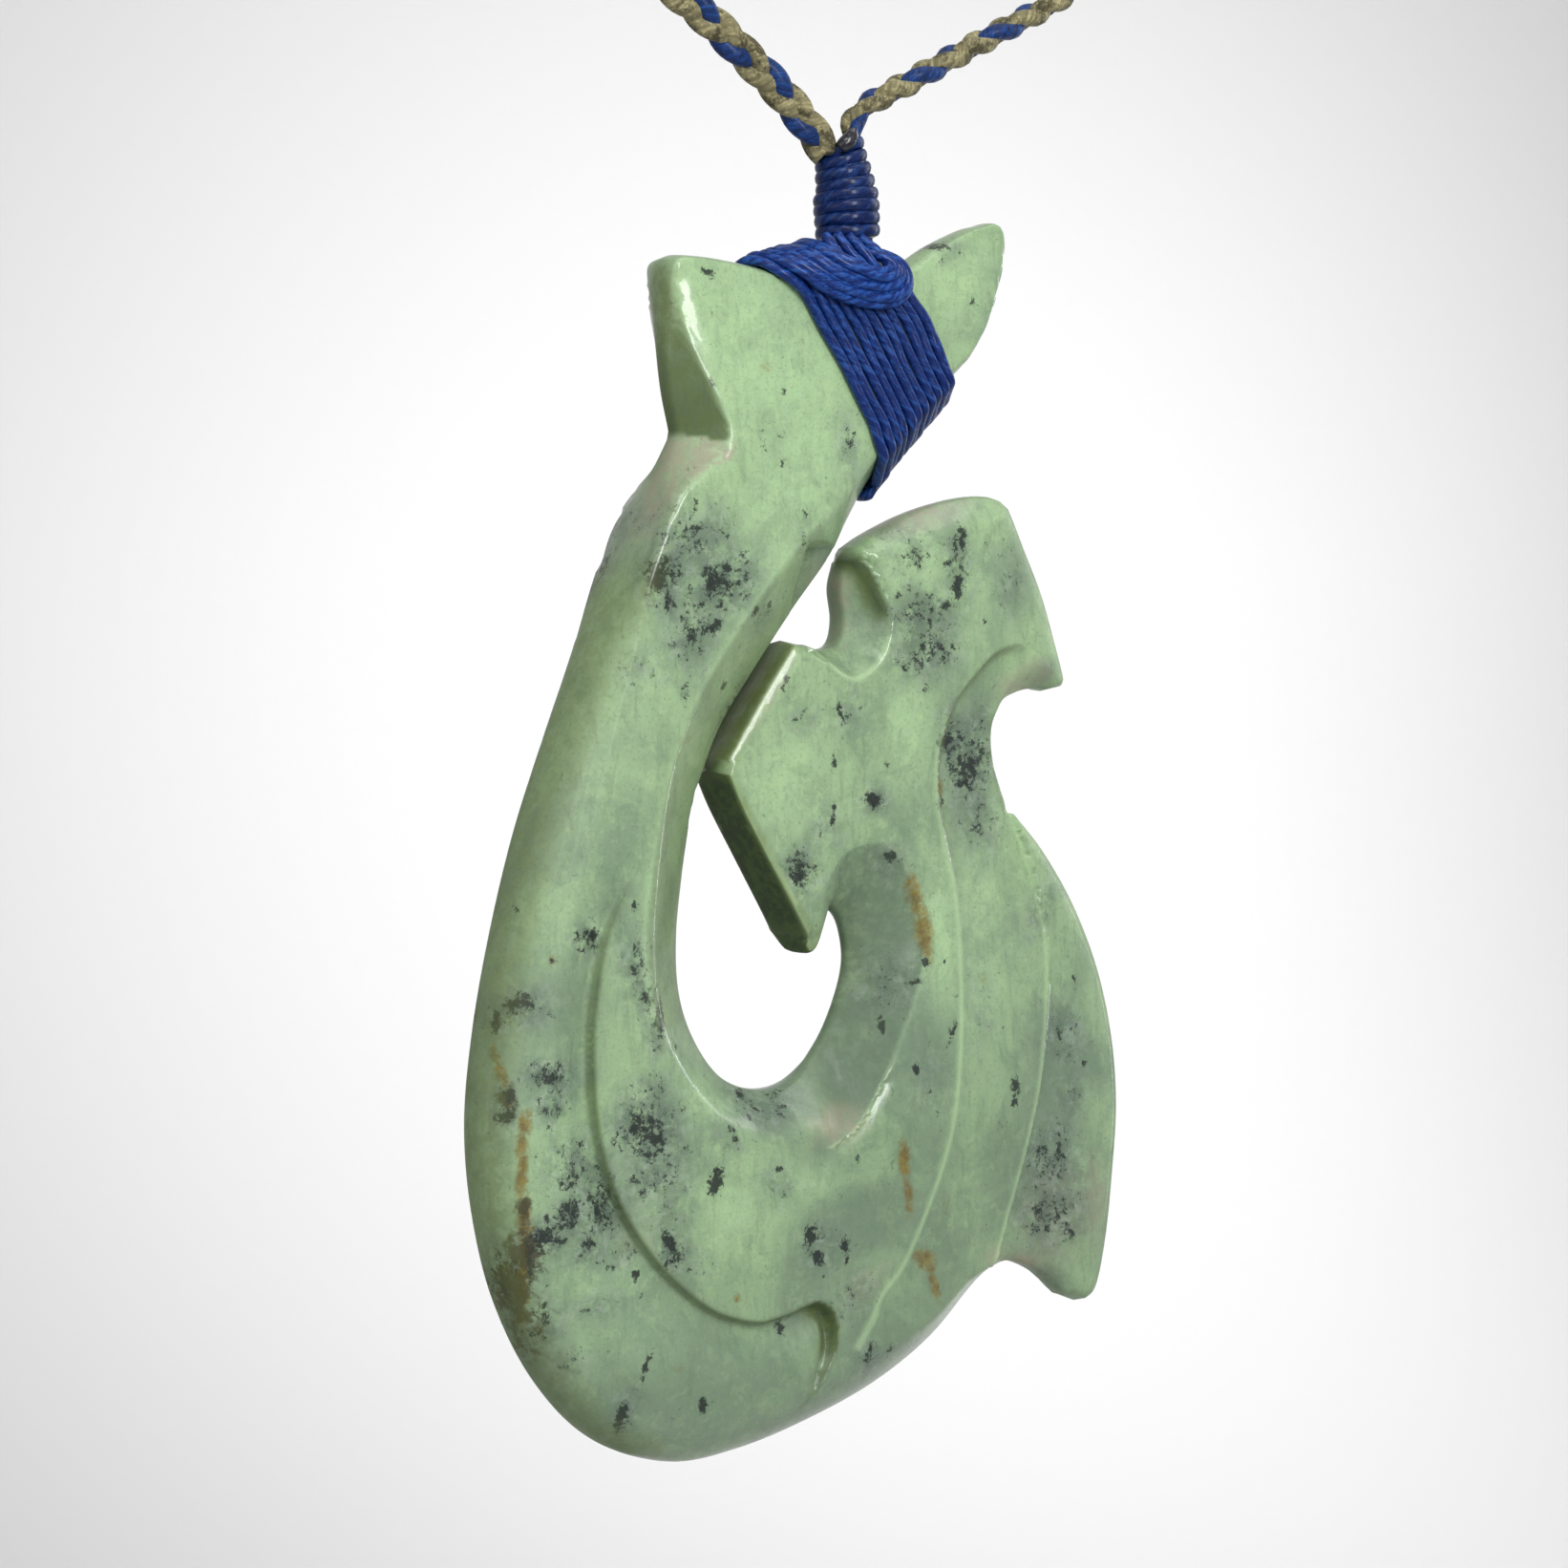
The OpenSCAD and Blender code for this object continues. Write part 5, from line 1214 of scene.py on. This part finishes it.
class PENDANT_OT_whipping(bpy.types.Operator):
    """Column of thread rings over the two cord ends"""

    bl_idname = "pendant.whipping"
    bl_label = "Whipping"

    def execute(self, context):
        s = context.scene.pendant_thread
        flat = s.diameter / MM / 2 * 0.80
        pitch, turns = 0.9, 8
        a = np.linspace(0, turns * 2.0 * np.pi, turns * 48)
        z = -0.35 + pitch * a / (2 * np.pi)
        mid, rad = whip_section(z, flat)
        rad = rad + 0.05 * np.sin(1.3 * a) + 0.04 * np.sin(0.37 * a)
        z = z + 0.08 * np.sin(0.83 * a) + 0.05 * np.sin(2.2 * a + 1)
        # the upper rings lean with the cord's two ends
        tilt = 0.28 * np.clip((z - 3) / 4, 0, 1)
        right, back = rad * np.cos(a), rad * np.sin(a)
        x, y = mid * VIEW[0] + right, mid * VIEW[1] + back
        z = z + tilt * ((x - mid * VIEW[0]) * VIEW[0] + (y - mid * VIEW[1]) * VIEW[1])
        coil = swept(np.column_stack([x, y, z]), ellipse(12, flat, 0.53), (0.0, 0.0, 1.0))
        z = np.linspace(-0.3, 6.3, 24)
        mid, rad = whip_section(z, flat * 0.75)
        core = swept(np.column_stack([mid * VIEW[0], mid * VIEW[1], z]),
                     rad[:, None, None] * ellipse(24, 1, 1), (0.0, 1.0, 0.0))
        # a darker copy of the thread: painted shade on the whipping
        material = thread_material(s, "shaded waxed thread", 0.6)
        put(mesh_piece("whipping_rings", joined([coil, core]), material), "cord_whipping")
        return {"FINISHED"}


# Middle of the sealed end, from the whipping's top: columns x, y, z
STUB = [[-1.6, -1.2, 6.5], [-1.2, -1.4, 6.9], [-0.75, -1.5, 7.4], [-0.45, -1.55, 8.1]]


class PENDANT_OT_thread_end(bpy.types.Operator):
    """Melted and sealed end of the thread, on top of the whipping"""

    bl_idname = "pendant.thread_end"
    bl_label = "Sealed thread end"

    def execute(self, context):
        s = context.scene.pendant_thread
        material, n, shader = new_material("sealed thread")
        lump = n.noise(n.place(), 1400.0, 4.0)
        n.fill(shader, {
            "Base Color": n.mixed(n.ramped(lump, 0.4, 0.7), s.sealed[:], shade(s.sealed, 3)),
            "Normal": n.bump(lump, 0.5, 0.0002), "Roughness": 0.18, "Coat Weight": 0.6})
        # a stub leaning left, swollen to a bead at its end
        path = smooth_rows(STUB, 6)
        run = np.linspace(0, 1, len(path))
        radius = 0.5 + 0.12 * np.sin(run * 4.0) - 0.25 * np.clip(run - 0.8, 0, 1) / 0.2
        bead = swept(path, radius[:, None, None] * ellipse(16, 1, 1), (1.0, 0.0, 0.2))
        put(mesh_piece("sealed_end", bead, material), "thread_end")
        return {"FINISHED"}


# Route of the cord from its left end round to its right end, as the frame has it: columns x, z
CORD_ROUTE = [
    [-2, 6.3], [-4.4, 8.8], [-6.8, 11], [-9.4, 13], [-12.6, 15.4], [-16, 17.6], [-26, 24], [-38, 31.6],
    [-50, 39.4], [-61.5, 47.8], [-70, 57.6], [-73.6, 69.6], [-72.6, 82.4], [-67, 93.6], [-57, 102],
    [-43, 107], [-28, 108.8], [-14, 109.2], [0, 109.2], [14, 109.2], [28, 108.8], [43, 107], [57, 102],
    [67, 93.6], [72.6, 82.4], [73.6, 69.6], [70, 57.6], [61.5, 47.8], [50, 39.4], [38, 31.6], [28, 24.8],
    [20.4, 19.6], [15.8, 17.2], [10.6, 14.6], [5.6, 12], [2.4, 10.4], [0.6, 9], [0.3, 7.2]]


class PENDANT_OT_cord(bpy.types.Operator):
    """Three-strand plait of the neck cord, in one loop from the whipping and back"""

    bl_idname = "pendant.cord"
    bl_label = "Plaited cord"

    def execute(self, context):
        s = context.scene.pendant_cord
        line = spaced(smooth_rows(CORD_ROUTE, 8), 0.42)
        run = run_length(line)
        centre = np.column_stack([line[:, 0], np.zeros(len(line)), line[:, 1]])
        way = unit_rows(np.gradient(centre, axis=0))
        across = np.cross(way, [0.0, 1.0, 0.0])
        # the plait is seen broad on the left and edge-on on the right, so it turns a quarter on its way
        share = step_up(run / run[-1])
        turn = np.radians(20 + 75 * share)[:, None]
        broad = across * np.cos(turn) + np.array([[0.0, 1.0, 0.0]]) * np.sin(turn)
        flat = np.cross(way, broad)
        # the last 6 mm are drawn tight into the whipping
        tight = 1 - 0.25 * step_up((run - run[-1] + 6) / 6)[:, None]
        pitch, d = s.pitch / MM, s.diameter / MM
        side_way, over = 0.26 * d, 0.135 * d
        strand = ellipse(12, 0.31 * d, 0.26 * d)
        # where the strands cross at either end, as seen
        phase = -0.9 - 0.4 * share
        parts, colours = [], []
        for k in range(3):
            a = ((run / pitch) * 2 * np.pi + k * 2 * np.pi / 3 + phase)[:, None]
            path = centre + (broad * side_way * np.sin(a) + flat * over * np.sin(2 * a)) * tight
            lumps = 1 - 0.06 * np.cos(2 * a)
            parts.append(swept(path, strand * (lumps * tight)[:, :, None], flat))
            # one blue strand, two tan ones
            colours.append(np.full(len(parts[-1][1]), min(k, 1)))
        bright = context.scene.pendant_thread.bright[:]
        blue = strand_material("blue strand", s.blue[:], bright, twist=0.42, plies=3.0, fibres=9.0,
                               rough=0.5, coat=0.12, sheen=0.15, depth=0.0001, mottle=0.35)
        tan = strand_material("tan strand", s.tan[:], shade(s.tan, 1.8), twist=0.42, plies=3.0, fibres=9.0,
                              rough=0.68, coat=0.0, sheen=0.2, depth=0.00012, mottle=0.75)
        obj = mesh_piece("neck_plait", joined(parts), [blue, tan])
        obj.data.polygons.foreach_set("material_index", np.concatenate(colours))
        put(obj, "neck_cord")
        return {"FINISHED"}


# Where the camera looks and stands, in millimetres of the frame
TARGET = (-6.0, 0.0, -150.2)
CAMERA = (-212.4, -294.7, -137.6)
LENS = 107.8
# Area lights on the pendant, in metres: name, place, size, share of the key light's power
LIGHTS = [
    ("key", (-0.06, -0.5, 0.06), (0.13, 0.34), 1.0), ("upper", (-0.2, -0.24, 0.19), (0.14, 0.14), 0.2),
    ("side", (0.6, -0.02, 0.1), (0.4, 0.4), 0.45), ("top", (0.1, -0.05, 0.35), (0.35, 0.35), 0.3),
    ("left", (-0.45, -0.12, -0.02), (0.35, 0.35), 0.16)]
LIGHTS_AIM = (-0.006, 0.0, -0.15)
# Section of the backdrop in millimetres: floor, wall, and the quarter round between them
FLOOR, WALL, BEND = -420, 800, 300


def stand(context, obj, place, target):
    """Puts a lamp or camera into the scene at a place, looking at a target."""
    obj.location = place
    obj.rotation_euler = (Vector(target) - Vector(place)).to_track_quat("-Z", "Y").to_euler()
    context.scene.collection.objects.link(obj)


class PENDANT_OT_stage(bpy.types.Operator):
    """Pale floor that sweeps up into the backdrop, and the soft lights"""

    bl_idname = "pendant.stage"
    bl_label = "Stage"

    def execute(self, context):
        s = context.scene.pendant_stage
        material, n, shader = new_material("pale paper")
        place = n.place()
        paper = n.mixed(n.noise(place, 300.0, 3.0), s.floor[:], shade(s.floor, 0.985))
        # painted shade: the paper darkens away from the place behind the pendant, where the wall light falls
        away = n.add("VectorMath", {0: place, 1: (0.56, 0.8, -0.18)}, operation="DISTANCE").outputs["Value"]
        paper = n.mixed(n.ramped(away, 0.10, 0.50), paper, shade(s.floor, 0.69))
        n.fill(shader, {"Base Color": paper, "Roughness": 0.9})
        turn = np.linspace(0, np.pi / 2, 16)
        ys = np.concatenate([[-1600], WALL - BEND + BEND * np.sin(turn), [WALL]])
        zs = np.concatenate([[FLOOR], FLOOR + BEND * (1 - np.cos(turn)), [1400]])
        xs = np.linspace(-1800, 1800, 13)
        grid = np.stack(np.broadcast_arrays(xs[:, None], ys[None], zs[None] + DROP), axis=-1)
        rows, columns = grid.shape[:2]
        i, j = (v.ravel() for v in np.meshgrid(np.arange(rows - 1), np.arange(columns - 1), indexing="ij"))
        near, far = i * columns + j, (i + 1) * columns + j
        quads = np.column_stack([near, far, far + 1, near + 1])
        sweep = mesh_piece("backdrop", (grid.reshape(-1, 3), quads, None), material)
        for name, place, size, share in LIGHTS:
            self.light(context, name, place, size, s.key * share, LIGHTS_AIM)
        self.light(context, "wall", (0.66, 0.0, -0.13), (0.3, 0.3), s.wall, (0.62, 0.8, -0.13))
        world = bpy.data.worlds.new("room")
        world.use_nodes = True
        Nodes(world.node_tree).fill(world.node_tree.nodes["Background"], {
            "Color": (1, 1, 1, 1), "Strength": s.world})
        context.scene.world = world
        context.scene.view_settings.view_transform = "Standard"
        return {"FINISHED"}

    @staticmethod
    def light(context, name, place, size, power, aim):
        """Adds a rectangular lamp."""
        lamp = bpy.data.lights.new(name, "AREA")
        lamp.shape = "RECTANGLE"
        lamp.size, lamp.size_y = size
        lamp.energy = power
        stand(context, bpy.data.objects.new(name, lamp), place, aim)


class PENDANT_OT_camera(bpy.types.Operator):
    """Camera at the photograph's angle"""

    bl_idname = "pendant.camera"
    bl_label = "Camera"

    def execute(self, context):
        data = bpy.data.cameras.new("camera")
        data.lens = LENS
        data.sensor_width = 36
        data.clip_start = 0.01
        cam = bpy.data.objects.new("camera", data)
        stand(context, cam, Vector(CAMERA) * MM, Vector(TARGET) * MM)
        context.scene.camera = cam
        return {"FINISHED"}


OPERATORS = (
    PENDANT_OT_camera, PENDANT_OT_cord, PENDANT_OT_stone, PENDANT_OT_lashing, PENDANT_OT_crossing,
    PENDANT_OT_whipping, PENDANT_OT_thread_end, PENDANT_OT_stage)


class PENDANT_PT_panel(bpy.types.Panel):
    """Lists the pieces in the sidebar"""

    bl_idname = "PENDANT_PT_panel"
    bl_label = "Jade hook pendant"
    bl_space_type = "VIEW_3D"
    bl_region_type = "UI"
    bl_category = "Pendant"

    def draw(self, context):
        for operator in OPERATORS:
            self.layout.operator(operator.bl_idname)
        for group in ("pendant_stone", "pendant_thread", "pendant_cord", "pendant_stage"):
            box = self.layout.box()
            settings = getattr(context.scene, group)
            for name in settings.bl_rna.properties.keys():
                if name not in ("rna_type", "name"):
                    box.prop(settings, name)


GROUPS = {
    "pendant_stone": StoneSettings, "pendant_thread": ThreadSettings, "pendant_cord": CordSettings,
    "pendant_stage": StageSettings}


def register():
    for cls in (*GROUPS.values(), *OPERATORS, PENDANT_PT_panel):
        bpy.utils.register_class(cls)
    for name, cls in GROUPS.items():
        setattr(bpy.types.Scene, name, bpy.props.PointerProperty(type=cls))


def unregister():
    for name in GROUPS:
        delattr(bpy.types.Scene, name)
    for cls in reversed((*GROUPS.values(), *OPERATORS, PENDANT_PT_panel)):
        bpy.utils.unregister_class(cls)


def main():
    register()
    bpy.ops.pendant.camera()
    bpy.ops.pendant.cord()
    bpy.ops.pendant.stone()
    bpy.ops.pendant.lashing()
    bpy.ops.pendant.crossing()
    bpy.ops.pendant.whipping()
    bpy.ops.pendant.thread_end()
    bpy.ops.pendant.stage()


if __name__ == "__main__":
    main()
